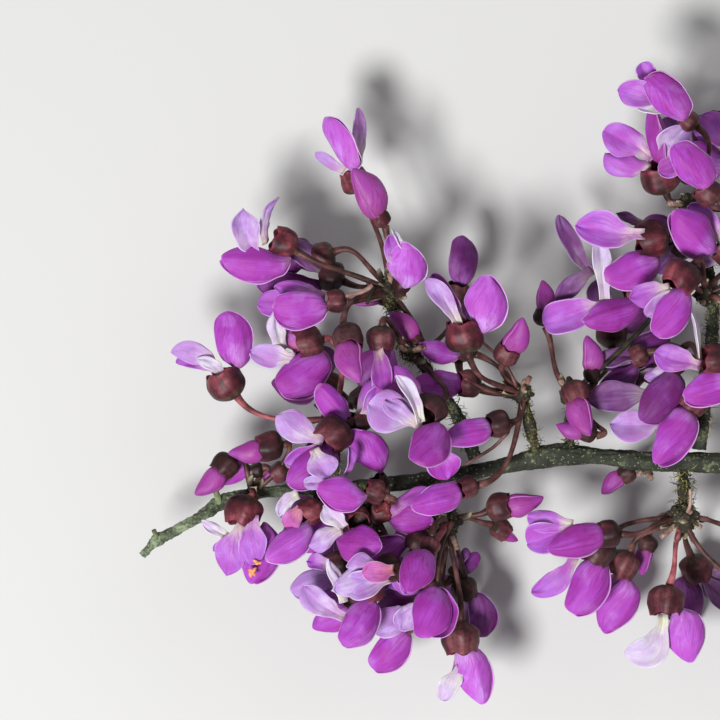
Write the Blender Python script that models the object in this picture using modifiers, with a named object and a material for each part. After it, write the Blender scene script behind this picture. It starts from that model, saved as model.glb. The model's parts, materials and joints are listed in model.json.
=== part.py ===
"""Cut flowering branch of a western redbud, lying on its lower blooms.

The bare stem carries short woody spurs, and each spur carries a cluster of pea-like blooms on thin stalks.
Routes and places below are millimetres from the point of the main stem behind the middle cluster:
x runs along the stem towards its thick cut end, y across it, and z up from it. The finished branch is moved
as a whole until its lowest bloom touches z = 0 under the middle of its outline.
"""

import math
from collections import namedtuple

import bmesh
import bpy
from mathutils import Matrix, Vector
from mathutils.geometry import intersect_point_line

MM = 0.001

# Wood: each route point is x, y, z and the diameter there
ROUTES = {
    "main_stem": (
        (-41.2, -10.9, 1.0, 1.2),
        (-39.6, -9.0, 1.4, 1.7),
        (-34.3, -6.0, 1.0, 1.4),
        (-29.6, -2.9, 0.4, 2.0),
        (-20.7, -1.6, 0.0, 1.8),
        (-11.0, -1.2, 0.0, 2.1),
        (0.0, 0.0, 0.0, 2.2),
        (10.5, 1.9, 0.2, 2.3),
        (18.0, 3.5, 0.5, 3.3),
        (24.5, 3.3, 0.3, 2.3),
        (31.0, 2.6, 0.0, 2.8),
        (40.0, 2.4, 0.0, 2.9),
        (54.0, 1.5, 0.0, 3.4),
        (62.0, 0.0, 0.0, 3.1),
        (74.0, -3.2, 0.0, 3.2),
    ),
    "left_branch": (
        (6.6, 3.0, 1.2, 1.9),
        (3.4, 10.0, 2.0, 1.7),
        (-0.6, 16.0, 1.5, 1.6),
        (-4.0, 20.0, 1.0, 1.5),
        (-5.2, 24.0, 1.5, 1.3),
    ),
    "right_branch": (
        (38.6, 4.4, 0.6, 2.1),
        (39.6, 13.0, 1.6, 1.9),
        (40.6, 25.0, 1.6, 1.7),
        (38.6, 36.4, 2.4, 1.4),
    ),
}
WOOD_SIDES = 2  # bevel resolution of the wood: 8 sides
ROUTE_STEPS = 2  # straight runs between two route points
SHOOT_DIAMETER = 1.2

# Spurs: the point that the stalks spring from, the radius of the knob there, and the wood that carries it
Spur = namedtuple("Spur", "x y z knob wood")
SPURS = {
    "upper_left": Spur(-5.7, 27.2, 2.2, 1.4, "left_branch"),
    "upper_mid": Spur(-3.0, 18.2, 4.1, 1.2, "left_branch"),
    "centre": Spur(13.2, 12.4, 3.6, 1.4, "main_stem"),
    "left": Spur(-14.0, 8.9, 2.6, 1.5, "main_stem"),
    "low": Spur(2.2, -6.0, 1.2, 2.0, "main_stem"),
    "low_right": Spur(36.4, -5.4, 1.2, 2.0, "main_stem"),
    "right_mid": Spur(20.2, 12.2, 1.4, 1.4, "main_stem"),
    "far_top": Spur(37.2, 39.4, 3.2, 1.5, "right_branch"),
    "far_upper": Spur(39.4, 26.4, 4.4, 1.3, "right_branch"),
    "far_mid": Spur(40.0, 15.4, 4.6, 1.4, "right_branch"),
    "twig": Spur(-25.4, 0.0, 2.6, 1.0, "main_stem"),
    "low_left": Spur(-9.0, -3.8, 2.2, 1.8, "main_stem"),
    "stem_right": Spur(31.2, 1.8, -3.2, 1.0, "main_stem"),
    "end": Spur(54.4, 4.8, 3.0, 1.8, "main_stem"),
}

# Blooms: the middle of the calyx, the keel's heading and pitch, the roll that the wings stand at (0 above the
# keel, 90 to its left), how far they open from it and from each other, and the size against a full bloom
Bloom = namedtuple("Bloom", "x y z heading pitch roll spread splay size")
BLOOMS = {
    "upper_left": (
        Bloom(-10.7, 42.9, 1.6, 116, 4, 180, 50, 40, 1.0),
        Bloom(-5.1, 28.6, 8.5, 66, 50, 80, 40, 15, 0.95),
        Bloom(-20.9, 32.9, 5.0, 183, 8, -90, 80, 15, 1.0),
        Bloom(-13.4, 25.0, 5.6, 182, 10, -100, 40, 15, 0.95),
    ),
    "upper_mid": (
        Bloom(1.0, 10.4, 14.0, 258, 18, -90, 85, 15, 1.0),
        Bloom(-6.9, 20.6, 8.8, 262, -12, 90, 30, 15, 0.9),
    ),
    "centre": (
        Bloom(4.7, 20.9, 11.0, 70, 12, 90, 55, 15, 1.0),
        Bloom(5.4, -1.0, 10.0, 199, 14, 180, 10, 15, 0.95),
    ),
    "left": (
        Bloom(-28.9, 13.9, 4.0, 98, 4, 90, 80, 15, 1.0),
        Bloom(-17.9, 20.0, 3.2, 238, 16, -90, 60, 15, 1.0),
        Bloom(-13.6, 6.4, 8.2, 219, 12, -90, 57, 15, 1.0),
    ),
    "twig": (
        Bloom(-26.4, -4.6, 4.6, 284, 6, -90, 80, 20, 1.0),
    ),
    "low_left": (
        Bloom(-17.4, -4.8, 5.3, 237, 20, -45, 75, 15, 1.0),
        Bloom(-7.4, -2.1, 13.0, 170, 12, -90, 50, 15, 1.0),
        Bloom(-12.6, -3.9, 8.3, 322, 28, -90, 75, 15, 0.9),
        Bloom(-8.3, -16.7, 4.3, 235, 20, -90, 65, 15, 1.0),
        Bloom(-13.8, -11.0, -0.7, 220, 0, -90, 40, 15, 0.95),
    ),
    "low": (
        Bloom(-0.5, -10.0, 12.3, 255, 40, 180, 20, 15, 0.95),
        Bloom(1.0, -15.7, 5.5, 256, 32, 180, 25, 35, 1.0),
        Bloom(-5.9, -12.6, 9.6, 190, 15, 0, 30, 30, 0.9),
        Bloom(0.6, -3.4, 4.2, 204, 9, -90, 45, 15, 0.9),
        Bloom(-3.6, -21.1, -0.5, 229, -4, 0, 35, 30, 1.0),
        Bloom(4.6, -22.8, 2.0, 285, 2, -90, 40, 15, 1.0),
    ),
    "low_right": (
        Bloom(25.4, -7.9, 6.0, 192, 10, -90, 35, 15, 1.0),
        Bloom(24.3, -10.4, 1.0, 250, 6, -90, 35, 15, 1.0),
        Bloom(27.6, -12.8, -3.0, 252, -6, 180, 10, 15, 1.0),
        Bloom(34.0, -17.4, 3.0, 286, 4, -90, 50, 15, 1.0),
        Bloom(44.6, -14.5, 3.0, 305, 6, 90, 55, 15, 1.0),
    ),
    "right_mid": (
        Bloom(26.4, 25.7, 4.0, 215, 6, -90, 40, 15, 1.0),
    ),
    "far_top": (
        Bloom(36.9, 51.7, 8.0, 137, 10, 90, 35, 15, 1.0),
        Bloom(33.1, 43.3, 1.2, 100, 10, 0, 30, 55, 1.0),
        Bloom(39.7, 41.4, 12.9, 126, 22, 90, 50, 15, 1.0),
        Bloom(43.5, 49.0, -2.0, 105, 4, 90, 40, 15, 1.0),
    ),
    "far_upper": (
        Bloom(31.4, 35.0, 6.0, 220, 12, -90, 55, 15, 1.0),
        Bloom(36.4, 28.6, 11.0, 246, 12, -90, 55, 15, 1.0),
        Bloom(40.7, 32.6, 6.6, 134, 20, 0, 30, 20, 0.95),
        Bloom(49.4, 31.2, 0.6, 20, 10, -90, 50, 15, 1.0),
    ),
    "far_mid": (
        Bloom(36.9, 18.4, 4.5, 229, 6, -90, 40, 15, 1.0),
        Bloom(43.2, 17.0, 10.6, 218, 12, -90, 55, 15, 0.95),
        Bloom(39.0, 11.1, 5.6, 230, 6, 0, 20, 15, 1.0),
    ),
    "end": (
        Bloom(51.6, 10.0, 9.6, 120, 16, 90, 55, 15, 1.0),
        Bloom(61.0, 10.6, 5.0, 40, 12, 90, 50, 15, 1.0),
        Bloom(57.6, -8.2, 6.0, 290, 12, -90, 50, 15, 1.0),
    ),
}

# Closed buds, shaded blooms and the blooms underneath, which are one piece with their spur
FUSED = {
    "upper_left": (
        Bloom(-14.2, 29.0, -1.0, 180, 0, -120, 45, 15, 0.95),
        Bloom(-6.6, 38.0, 7.0, 126, 20, 180, 6, 15, 0.95),
        Bloom(-11.9, 20.3, 12.5, 285, 30, 160, 8, 15, 0.9),
        Bloom(-10.0, 33.5, -8.0, 150, -22, 90, 45, 15, 1.0),
    ),
    "upper_mid": (
        Bloom(4.0, 27.9, -1.0, 90, 20, 0, 20, 15, 0.95),
    ),
    "centre": (
        Bloom(4.6, 14.3, 4.8, 177, 16, 0, 6, 15, 0.8),
        Bloom(8.9, 9.6, 8.0, 214, 20, 0, 6, 15, 0.8),
        Bloom(11.0, 18.3, 7.0, 66, 30, 0, 6, 15, 0.75),
        Bloom(5.1, 17.9, 3.6, 166, 12, 0, 10, 15, 0.85),
        Bloom(7.5, 14.5, -8.0, 110, -22, 90, 45, 15, 1.0),
    ),
    "left": (
        Bloom(-21.5, 12.5, -8.0, 200, -22, -90, 45, 15, 1.0),
    ),
    "twig": (
        Bloom(-29.3, 1.7, 3.0, 222, 8, 0, 6, 15, 0.75),
        Bloom(-22.9, 4.7, 4.0, 184, 6, 0, 6, 15, 0.8),
    ),
    "low_left": (
        Bloom(-12.1, -17.1, -7.4, 229, -8, 0, 30, 15, 0.9),
        Bloom(-6.0, 1.7, 5.0, 136, 24, 180, 8, 15, 0.9),
        Bloom(-15.0, -7.5, -8.0, 205, -22, 90, 45, 15, 1.0),
    ),
    "low": (
        Bloom(6.9, -16.4, -2.4, 287, -30, -90, 30, 15, 0.9),
        Bloom(10.3, -4.4, 2.0, 14, 6, 0, 6, 15, 0.75),
        Bloom(-1.0, -13.5, -8.0, 255, -22, 90, 45, 15, 1.0),
        Bloom(9.0, -8.0, -8.5, 325, -28, 0, 6, 15, 0.9),
    ),
    "low_right": (
        Bloom(31.4, -9.3, -5.0, 262, -6, 0, 6, 15, 0.6),
        Bloom(38.5, -13.0, -8.0, 265, -22, 90, 45, 15, 1.0),
        Bloom(45.5, -7.5, -1.0, 340, 6, 0, 6, 15, 0.8),
    ),
    "right_mid": (
        Bloom(15.7, 23.1, -1.0, 92, 0, 0, 6, 15, 0.75),
        Bloom(23.6, 15.0, -1.5, 98, 8, 0, 6, 15, 0.75),
        Bloom(20.6, 12.4, 5.0, 290, 20, 180, 6, 15, 0.8),
        Bloom(23.1, 6.7, 4.6, 165, 6, 0, 8, 15, 0.75),
        Bloom(21.5, 19.5, -8.0, 70, -22, 90, 45, 15, 1.0),
    ),
    "far_top": (
        Bloom(46.0, 42.0, 6.0, 35, 15, 90, 50, 15, 1.0),
        Bloom(38.5, 44.5, -7.6, 75, -22, 90, 45, 15, 1.0),
    ),
    "far_upper": (
        Bloom(47.0, 23.0, 9.2, 335, 20, 0, 6, 15, 0.8),
    ),
    "far_mid": (
        Bloom(48.0, 14.0, 2.6, 350, 8, 90, 45, 15, 0.95),
    ),
    "stem_right": (
        Bloom(28.4, 0.9, -4.6, 222, -6, 0, 6, 15, 0.6),
    ),
    "end": (
        Bloom(64.5, 4.5, 8.5, 5, 20, 0, 6, 15, 0.85),
        Bloom(52.8, -7.5, 4.0, 255, 6, 0, 6, 15, 0.8),
        Bloom(58.5, 11.5, -8.0, 60, -22, 90, 45, 15, 1.0),
    ),
}

# One full bloom, millimetres and degrees: its petals run from the middle of the calyx
KEEL_LENGTH = 9.9
KEEL_HEIGHT = 5.7
KEEL_WIDTH = 3.6
BUD_LENGTH = 8.0
BUD_HEIGHT = 4.6
WING_LENGTH = 8.8
WING_WIDTH = 4.6
WING_CURL = 0.8
WING_APART = 0.7
BANNER_LENGTH = 7.6
BANNER_WIDTH = 4.2
BANNER_LEAN = 28.0
BANNER_CURL = -1.0
PETAL_THICKNESS = 0.45
CALYX_LENGTH = 4.4
CALYX_WIDTH = 5.6
CALYX_RINGS = ((-0.5, 0.0), (-0.36, 0.62), (0.08, 1.0), (0.5, 0.86), (0.36, 0.0))  # along and across, foot to mouth
STALK_DIAMETER = 0.75
STALK_STEPS = 3
STALK_BEND = 0.4
OPEN_FROM = 15  # a bloom that opens less than this is a closed bud
BANNER_FROM = 80  # the upright petal shows on blooms that open at least this far
CLEAR = 0.35  # between pieces that would otherwise touch

WOOD_LOOK = ("redbud_wood", (0.16, 0.17, 0.10), 0.85)
SPUR_LOOK = ("redbud_spur", (0.12, 0.09, 0.06), 0.9)
BLOOM_LOOK = ("redbud_bloom", (0.48, 0.11, 0.50), 0.6)


def clear_scene():
    for thing in list(bpy.data.objects):
        bpy.data.objects.remove(thing)


def material(look):
    name, colour, roughness = look
    made = bpy.data.materials.get(name)
    if made is None:
        made = bpy.data.materials.new(name)
        made.use_nodes = True
        shader = made.node_tree.nodes["Principled BSDF"]
        shader.inputs["Base Color"].default_value = (*colour, 1.0)
        shader.inputs["Roughness"].default_value = roughness
        shader.inputs["Metallic"].default_value = 0.0
    return made


def mesh_object(bm, matrix=None):
    """The bmesh as a loose object, moved by matrix, in millimetres."""
    if matrix is not None:
        bm.transform(matrix)
    bmesh.ops.recalc_face_normals(bm, faces=bm.faces)
    mesh = bpy.data.meshes.new("piece")
    bm.to_mesh(mesh)
    bm.free()
    return bpy.data.objects.new("piece", mesh)


def smooth_route(points):
    """Points on a Catmull-Rom curve through the given ones, each with its diameter as the fourth value."""
    route = [Vector(p) for p in points]
    route = [2 * route[0] - route[1], *route, 2 * route[-1] - route[-2]]
    found = []
    for a, b, c, d in zip(route, route[1:], route[2:], route[3:]):
        for step in range(ROUTE_STEPS):
            t = step / ROUTE_STEPS
            squared = 2 * a - 5 * b + 4 * c - d
            cubed = 3 * b - a - 3 * c + d
            found.append(b + 0.5 * ((c - a) * t + squared * t**2 + cubed * t**3))
    found.append(route[-2])
    return found


def tube(points, resolution):
    """A closed tube along the points; the fourth value of each is the diameter."""
    curve = bpy.data.curves.new("tube", "CURVE")
    curve.dimensions = "3D"
    curve.bevel_depth = 1.0
    curve.bevel_resolution = resolution
    curve.use_fill_caps = True
    spline = curve.splines.new("POLY")
    spline.points.add(len(points) - 1)
    for place, (x, y, z, diameter) in zip(spline.points, points):
        place.co = (x, y, z, 1.0)
        place.radius = diameter / 2
    drawn = bpy.data.objects.new("tube", curve)
    bpy.context.scene.collection.objects.link(drawn)
    bpy.context.view_layer.update()
    mesh = bpy.data.meshes.new_from_object(drawn.evaluated_get(bpy.context.evaluated_depsgraph_get()))
    bpy.data.objects.remove(drawn)
    bm = bmesh.new()
    bm.from_mesh(mesh)
    bpy.data.meshes.remove(mesh)
    bmesh.ops.remove_doubles(bm, verts=bm.verts, dist=0.001)
    return mesh_object(bm)


def ball(shape, around, rings):
    """A closed ball whose points are placed by shape(t, side, up), t from pole to pole."""
    bm = bmesh.new()
    bmesh.ops.create_uvsphere(bm, u_segments=around, v_segments=rings, radius=1.0)
    for vert in bm.verts:
        t = (vert.co.z + 1) / 2
        ring = Vector(vert.co.xy)
        ring = ring.normalized() if ring.length > 0.01 else ring * 0
        vert.co = shape(t, ring.x, ring.y)
    return bm


def ovate(t, foot, belly):
    """Half the width of a petal at t along it, as a share: foot at the claw, 1 at the belly, 0 at the tip."""
    if t < belly:
        return foot + (1 - foot) * math.sin(math.pi / 2 * t / belly) ** 1.6
    return max(0.0, 1 - ((t - belly) / (1 - belly)) ** 2.2) ** 0.5


def keel_shape(length, height, width):
    """A puffed petal pair along X that sags in the middle."""

    def shape(t, side, up):
        fill = max(ovate(t, 0.25, 0.6), 0.2)
        drop = -0.16 * height * math.sin(math.pi * t)
        return Vector((length * t, side * fill * width / 2, drop + up * fill * height / 2))

    return shape


def calyx_shape(t, side, up):
    """A cup round the X axis: a rounded foot, the widest ring ahead of the middle and a dished mouth."""
    along, across = CALYX_RINGS[round(t * (len(CALYX_RINGS) - 1))]
    radius = across * CALYX_WIDTH / 2
    return Vector((along * CALYX_LENGTH, side * radius, up * radius))


def petal(length, width, curl, matrix):
    """A thin blade along X with its face up: claw at the origin, sides cupped and tip curled by curl."""
    bm = bmesh.new()
    bmesh.ops.create_circle(bm, cap_ends=True, cap_tris=True, segments=6, radius=1.0)
    for vert in bm.verts:
        x, y = vert.co.xy
        middle = abs(x) + abs(y) < 0.01
        t = 0.55 if middle else (1 - x) / 2
        side = 0.0 if abs(y) < 0.01 else math.copysign(1.0, y)
        half = side * max(ovate(t, 0.26, 0.66), 0.2) * width / 2
        vert.co = Vector((length * t, half, curl * t * t + 0.1 * width * abs(y)))
    made = mesh_object(bm, matrix)
    shell = made.modifiers.new("thickness", "SOLIDIFY")
    shell.thickness = PETAL_THICKNESS
    shell.offset = 0.0
    return made


def axes(x_axis, z_axis):
    """The matrix that turns X and Z to these directions."""
    x_axis = x_axis.normalized()
    y_axis = z_axis.cross(x_axis).normalized()
    z_axis = x_axis.cross(y_axis)
    return Matrix((x_axis, y_axis, z_axis)).transposed().to_4x4()


def bloom_frame(bloom):
    """Where a bloom stands: X down the keel, Z the side that its wings are on."""
    turn = Matrix.Rotation(math.radians(bloom.heading), 4, "Z") @ Matrix.Rotation(math.radians(-bloom.pitch), 4, "Y")
    roll = Matrix.Rotation(math.radians(-bloom.roll), 4, "X")
    return Matrix.Translation((bloom.x, bloom.y, bloom.z)) @ turn @ roll @ Matrix.Scale(bloom.size, 4)


def bloom_pieces(bloom, around):
    """The calyx and petals of one bloom as loose closed solids, and the axis of its calyx."""
    frame = bloom_frame(bloom)
    spread = math.radians(bloom.spread)
    axis = Vector((math.cos(spread / 2), 0, math.sin(spread / 2)))
    calyx = ball(calyx_shape, around, len(CALYX_RINGS) - 1)
    pieces = [mesh_object(calyx, frame @ axes(axis, Vector((-axis.z, 0, axis.x))))]
    if bloom.spread < OPEN_FROM:
        keel = keel_shape(BUD_LENGTH, BUD_HEIGHT, KEEL_WIDTH)
    else:
        keel = keel_shape(KEEL_LENGTH, KEEL_HEIGHT, KEEL_WIDTH)
    pieces.append(mesh_object(ball(keel, around, 5), frame))
    if bloom.spread >= OPEN_FROM:
        reach = Vector((math.cos(spread), 0, math.sin(spread)))
        out = Vector((0, 1, 0))
        for side in (-1, 1):
            splay = math.radians(bloom.splay) * side
            along = reach * math.cos(splay) + out * math.sin(splay)
            face = (out * math.cos(splay) - reach * math.sin(splay)) * side
            stand = Matrix.Translation((0, WING_APART * side, 0)) @ axes(along, face)
            pieces.append(petal(WING_LENGTH, WING_WIDTH, WING_CURL, frame @ stand))
    if bloom.spread >= BANNER_FROM:
        lean = spread + math.radians(BANNER_LEAN)
        along = Vector((math.cos(lean), 0, math.sin(lean)))
        stand = axes(along, Vector((math.sin(lean), 0, -math.cos(lean))))
        pieces.append(petal(BANNER_LENGTH, BANNER_WIDTH, BANNER_CURL, frame @ stand))
    return pieces, (frame.to_3x3() @ axis).normalized()


def stalk(spur, bloom, calyx_axis, gap):
    """The thin stalk from gap outside the spur's middle to inside the calyx, entering along its axis."""
    root = Vector((spur.x, spur.y, spur.z))
    foot = Vector((bloom.x, bloom.y, bloom.z)) - calyx_axis * CALYX_LENGTH * 0.35 * bloom.size
    bend = foot - calyx_axis * (foot - root).length * STALK_BEND
    start = root + (bend - root).normalized() * gap
    points = []
    for step in range(STALK_STEPS + 1):
        t = step / STALK_STEPS
        spot = start * (1 - t) ** 2 + bend * 2 * t * (1 - t) + foot * t**2
        points.append((*spot, STALK_DIAMETER * (1 + 0.35 * t * t)))
    return tube(points, 0)


def fuse(name, pieces, look, collection):
    """One closed body from the overlapping pieces, as a named object in metres."""
    base, *others = pieces
    gathered = bpy.data.collections.new("gathered")
    bpy.context.scene.collection.children.link(gathered)
    bpy.context.scene.collection.objects.link(base)
    for piece in others:
        gathered.objects.link(piece)
    union = base.modifiers.new("union", "BOOLEAN")
    union.operation = "UNION"
    union.operand_type = "COLLECTION"
    union.collection = gathered
    union.solver = "EXACT"
    bpy.context.view_layer.update()
    mesh = bpy.data.meshes.new_from_object(base.evaluated_get(bpy.context.evaluated_depsgraph_get()))
    for piece in pieces:
        bpy.data.objects.remove(piece)
    bpy.data.collections.remove(gathered)
    mesh.transform(Matrix.Scale(MM, 4))
    mesh.name = name
    mesh.materials.clear()
    mesh.materials.append(material(look))
    collection.objects.link(bpy.data.objects.new(name, mesh))


def wood_under(root, wood):
    """The nearest point on the wood's middle line, and the wood's radius there."""
    route = smooth_route(ROUTES[wood])
    found = []
    for a, b in zip(route, route[1:]):
        spot, share = intersect_point_line(root, a.xyz, b.xyz)
        share = min(1.0, max(0.0, share))
        spot = a.lerp(b, share)
        found.append(((root - spot.xyz).length, spot.xyz, spot.w / 2))
    return min(found, key=lambda entry: entry[0])[1:]


def knob(spur):
    """The head of a spur and the short shoot that carries it, which stops just clear of the wood."""
    root = Vector((spur.x, spur.y, spur.z))
    wood, radius = wood_under(root, spur.wood)
    along = (root - wood).normalized()
    stand = Matrix.Translation(root) @ axes(along, Vector((0.1, 0.2, 1)).cross(along))

    def shape(t, side, up):
        ring = spur.knob * math.sin(math.pi * t)
        return Vector(((2 * t - 1) * spur.knob, side * ring, up * ring))

    foot = wood + along * (radius + CLEAR)
    shoot = tube(((*foot, SHOOT_DIAMETER), (*root, SHOOT_DIAMETER)), 1)
    return [mesh_object(ball(shape, 6, 4), stand), shoot]


def settle(things):
    """Move the whole branch until its lowest point is at z = 0 under the middle of its outline."""
    spots = [vert.co for thing in things for vert in thing.data.vertices]
    low = Vector([min(spot[k] for spot in spots) for k in range(3)])
    high = Vector([max(spot[k] for spot in spots) for k in range(3)])
    shift = Vector((-(low.x + high.x) / 2, -(low.y + high.y) / 2, -low.z))
    for thing in things:
        thing.data.transform(Matrix.Translation(shift))


def build():
    clear_scene()
    branch = bpy.data.collections.new("redbud_branch")
    bpy.context.scene.collection.children.link(branch)
    for name, route in ROUTES.items():
        fuse(name, [tube(smooth_route(route), WOOD_SIDES)], WOOD_LOOK, branch)
    for name, spur in SPURS.items():
        pieces = knob(spur)
        for bloom in FUSED[name]:
            petals, axis = bloom_pieces(bloom, 5)
            pieces += [stalk(spur, bloom, axis, 0.0), *petals]
        fuse(f"spur_{name}", pieces, SPUR_LOOK, branch)
    number = 0
    for name, blooms in BLOOMS.items():
        spur = SPURS[name]
        for bloom in blooms:
            number += 1
            petals, axis = bloom_pieces(bloom, 6)
            fuse(f"bloom_{number:02d}", [stalk(spur, bloom, axis, spur.knob + CLEAR), *petals], BLOOM_LOOK, branch)
    settle(list(branch.objects))


build()
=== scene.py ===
"""Looks of a cut flowering branch of a western redbud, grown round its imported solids.

Every node is replaced by a finer piece of the same reach: the stem and shoots get their bark, and each bloom
or cluster its petals, calyxes and stalks. Places are millimetres from the point of the main stem behind the
middle cluster, as in the solids: x along the stem towards its cut end, y across it, z up from it.
"""

import json
import math
import random
from collections import namedtuple

import bpy
from mathutils import Matrix, Vector, noise
from mathutils.geometry import intersect_point_line


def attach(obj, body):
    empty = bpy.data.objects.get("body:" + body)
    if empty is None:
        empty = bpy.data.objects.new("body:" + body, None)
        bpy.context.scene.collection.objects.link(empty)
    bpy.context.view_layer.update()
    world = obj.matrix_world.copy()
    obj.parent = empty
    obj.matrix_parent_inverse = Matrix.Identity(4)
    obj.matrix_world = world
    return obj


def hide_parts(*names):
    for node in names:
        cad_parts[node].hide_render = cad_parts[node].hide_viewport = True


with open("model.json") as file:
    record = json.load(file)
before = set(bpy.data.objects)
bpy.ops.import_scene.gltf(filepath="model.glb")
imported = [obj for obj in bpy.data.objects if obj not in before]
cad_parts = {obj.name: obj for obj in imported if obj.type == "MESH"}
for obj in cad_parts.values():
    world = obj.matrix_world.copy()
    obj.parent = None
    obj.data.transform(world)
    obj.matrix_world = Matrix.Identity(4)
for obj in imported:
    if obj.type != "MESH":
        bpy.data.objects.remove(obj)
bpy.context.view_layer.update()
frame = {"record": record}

MM = 0.001

# Wood: each route point is x, y, z and the diameter there
ROUTES = {
    "main_stem": (
        (-41.2, -10.9, 1.0, 1.2),
        (-40.0, -9.6, 1.2, 1.2),
        (-39.1, -8.7, 1.4, 1.9),
        (-37.4, -7.8, 1.2, 1.5),
        (-33.0, -5.4, 0.9, 1.5),
        (-30.3, -3.5, 0.6, 2.1),
        (-27.6, -2.4, 0.3, 1.6),
        (-20.7, -1.6, 0.0, 1.7),
        (-11.0, -1.2, 0.0, 2.1),
        (0.0, 0.0, 0.0, 2.2),
        (10.5, 1.9, 0.2, 2.3),
        (18.0, 3.5, 0.5, 3.3),
        (24.5, 3.3, 0.3, 2.3),
        (31.0, 2.6, 0.0, 2.8),
        (40.0, 2.4, 0.0, 2.9),
        (54.0, 1.5, 0.0, 3.4),
        (62.0, 0.0, 0.0, 3.1),
        (74.0, -3.2, 0.0, 3.2),
    ),
    "left_branch": (
        (6.6, 3.0, 1.2, 1.9),
        (3.4, 10.0, 2.0, 1.7),
        (-0.6, 16.0, 1.5, 1.6),
        (-4.0, 20.0, 1.0, 1.5),
        (-5.2, 24.0, 1.5, 1.3),
    ),
    "right_branch": (
        (38.6, 4.4, 0.6, 2.1),
        (39.6, 13.0, 1.6, 1.9),
        (40.6, 25.0, 1.6, 1.7),
        (38.6, 36.4, 2.4, 1.4),
    ),
}
WOOD_AROUND = 28
WOOD_RUN = 0.5  # from one ring of bark to the next
ROUTE_STEPS = 12
SHOOT_DIAMETER = 1.2

# Spurs: the point that the stalks spring from, the radius of the knob there, and the wood that carries it
Spur = namedtuple("Spur", "x y z knob wood")
SPURS = {
    "upper_left": Spur(-5.7, 27.2, 2.2, 1.4, "left_branch"),
    "upper_mid": Spur(-3.0, 18.2, 4.1, 1.2, "left_branch"),
    "centre": Spur(13.2, 12.4, 3.6, 1.4, "main_stem"),
    "left": Spur(-14.0, 8.9, 2.6, 1.5, "main_stem"),
    "low": Spur(2.2, -6.0, 1.2, 2.0, "main_stem"),
    "low_right": Spur(36.4, -5.4, 1.2, 2.0, "main_stem"),
    "right_mid": Spur(20.2, 12.2, 1.4, 1.4, "main_stem"),
    "far_top": Spur(37.2, 39.4, 3.2, 1.5, "right_branch"),
    "far_upper": Spur(39.4, 26.4, 4.4, 1.3, "right_branch"),
    "far_mid": Spur(40.0, 15.4, 4.6, 1.4, "right_branch"),
    "twig": Spur(-25.6, -2.0, 1.3, 0.7, "main_stem"),
    "low_left": Spur(-9.0, -3.8, 2.2, 1.8, "main_stem"),
    "stem_right": Spur(31.2, 1.8, -3.2, 1.0, "main_stem"),
    "end": Spur(54.4, 4.8, 3.0, 1.8, "main_stem"),
}

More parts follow.
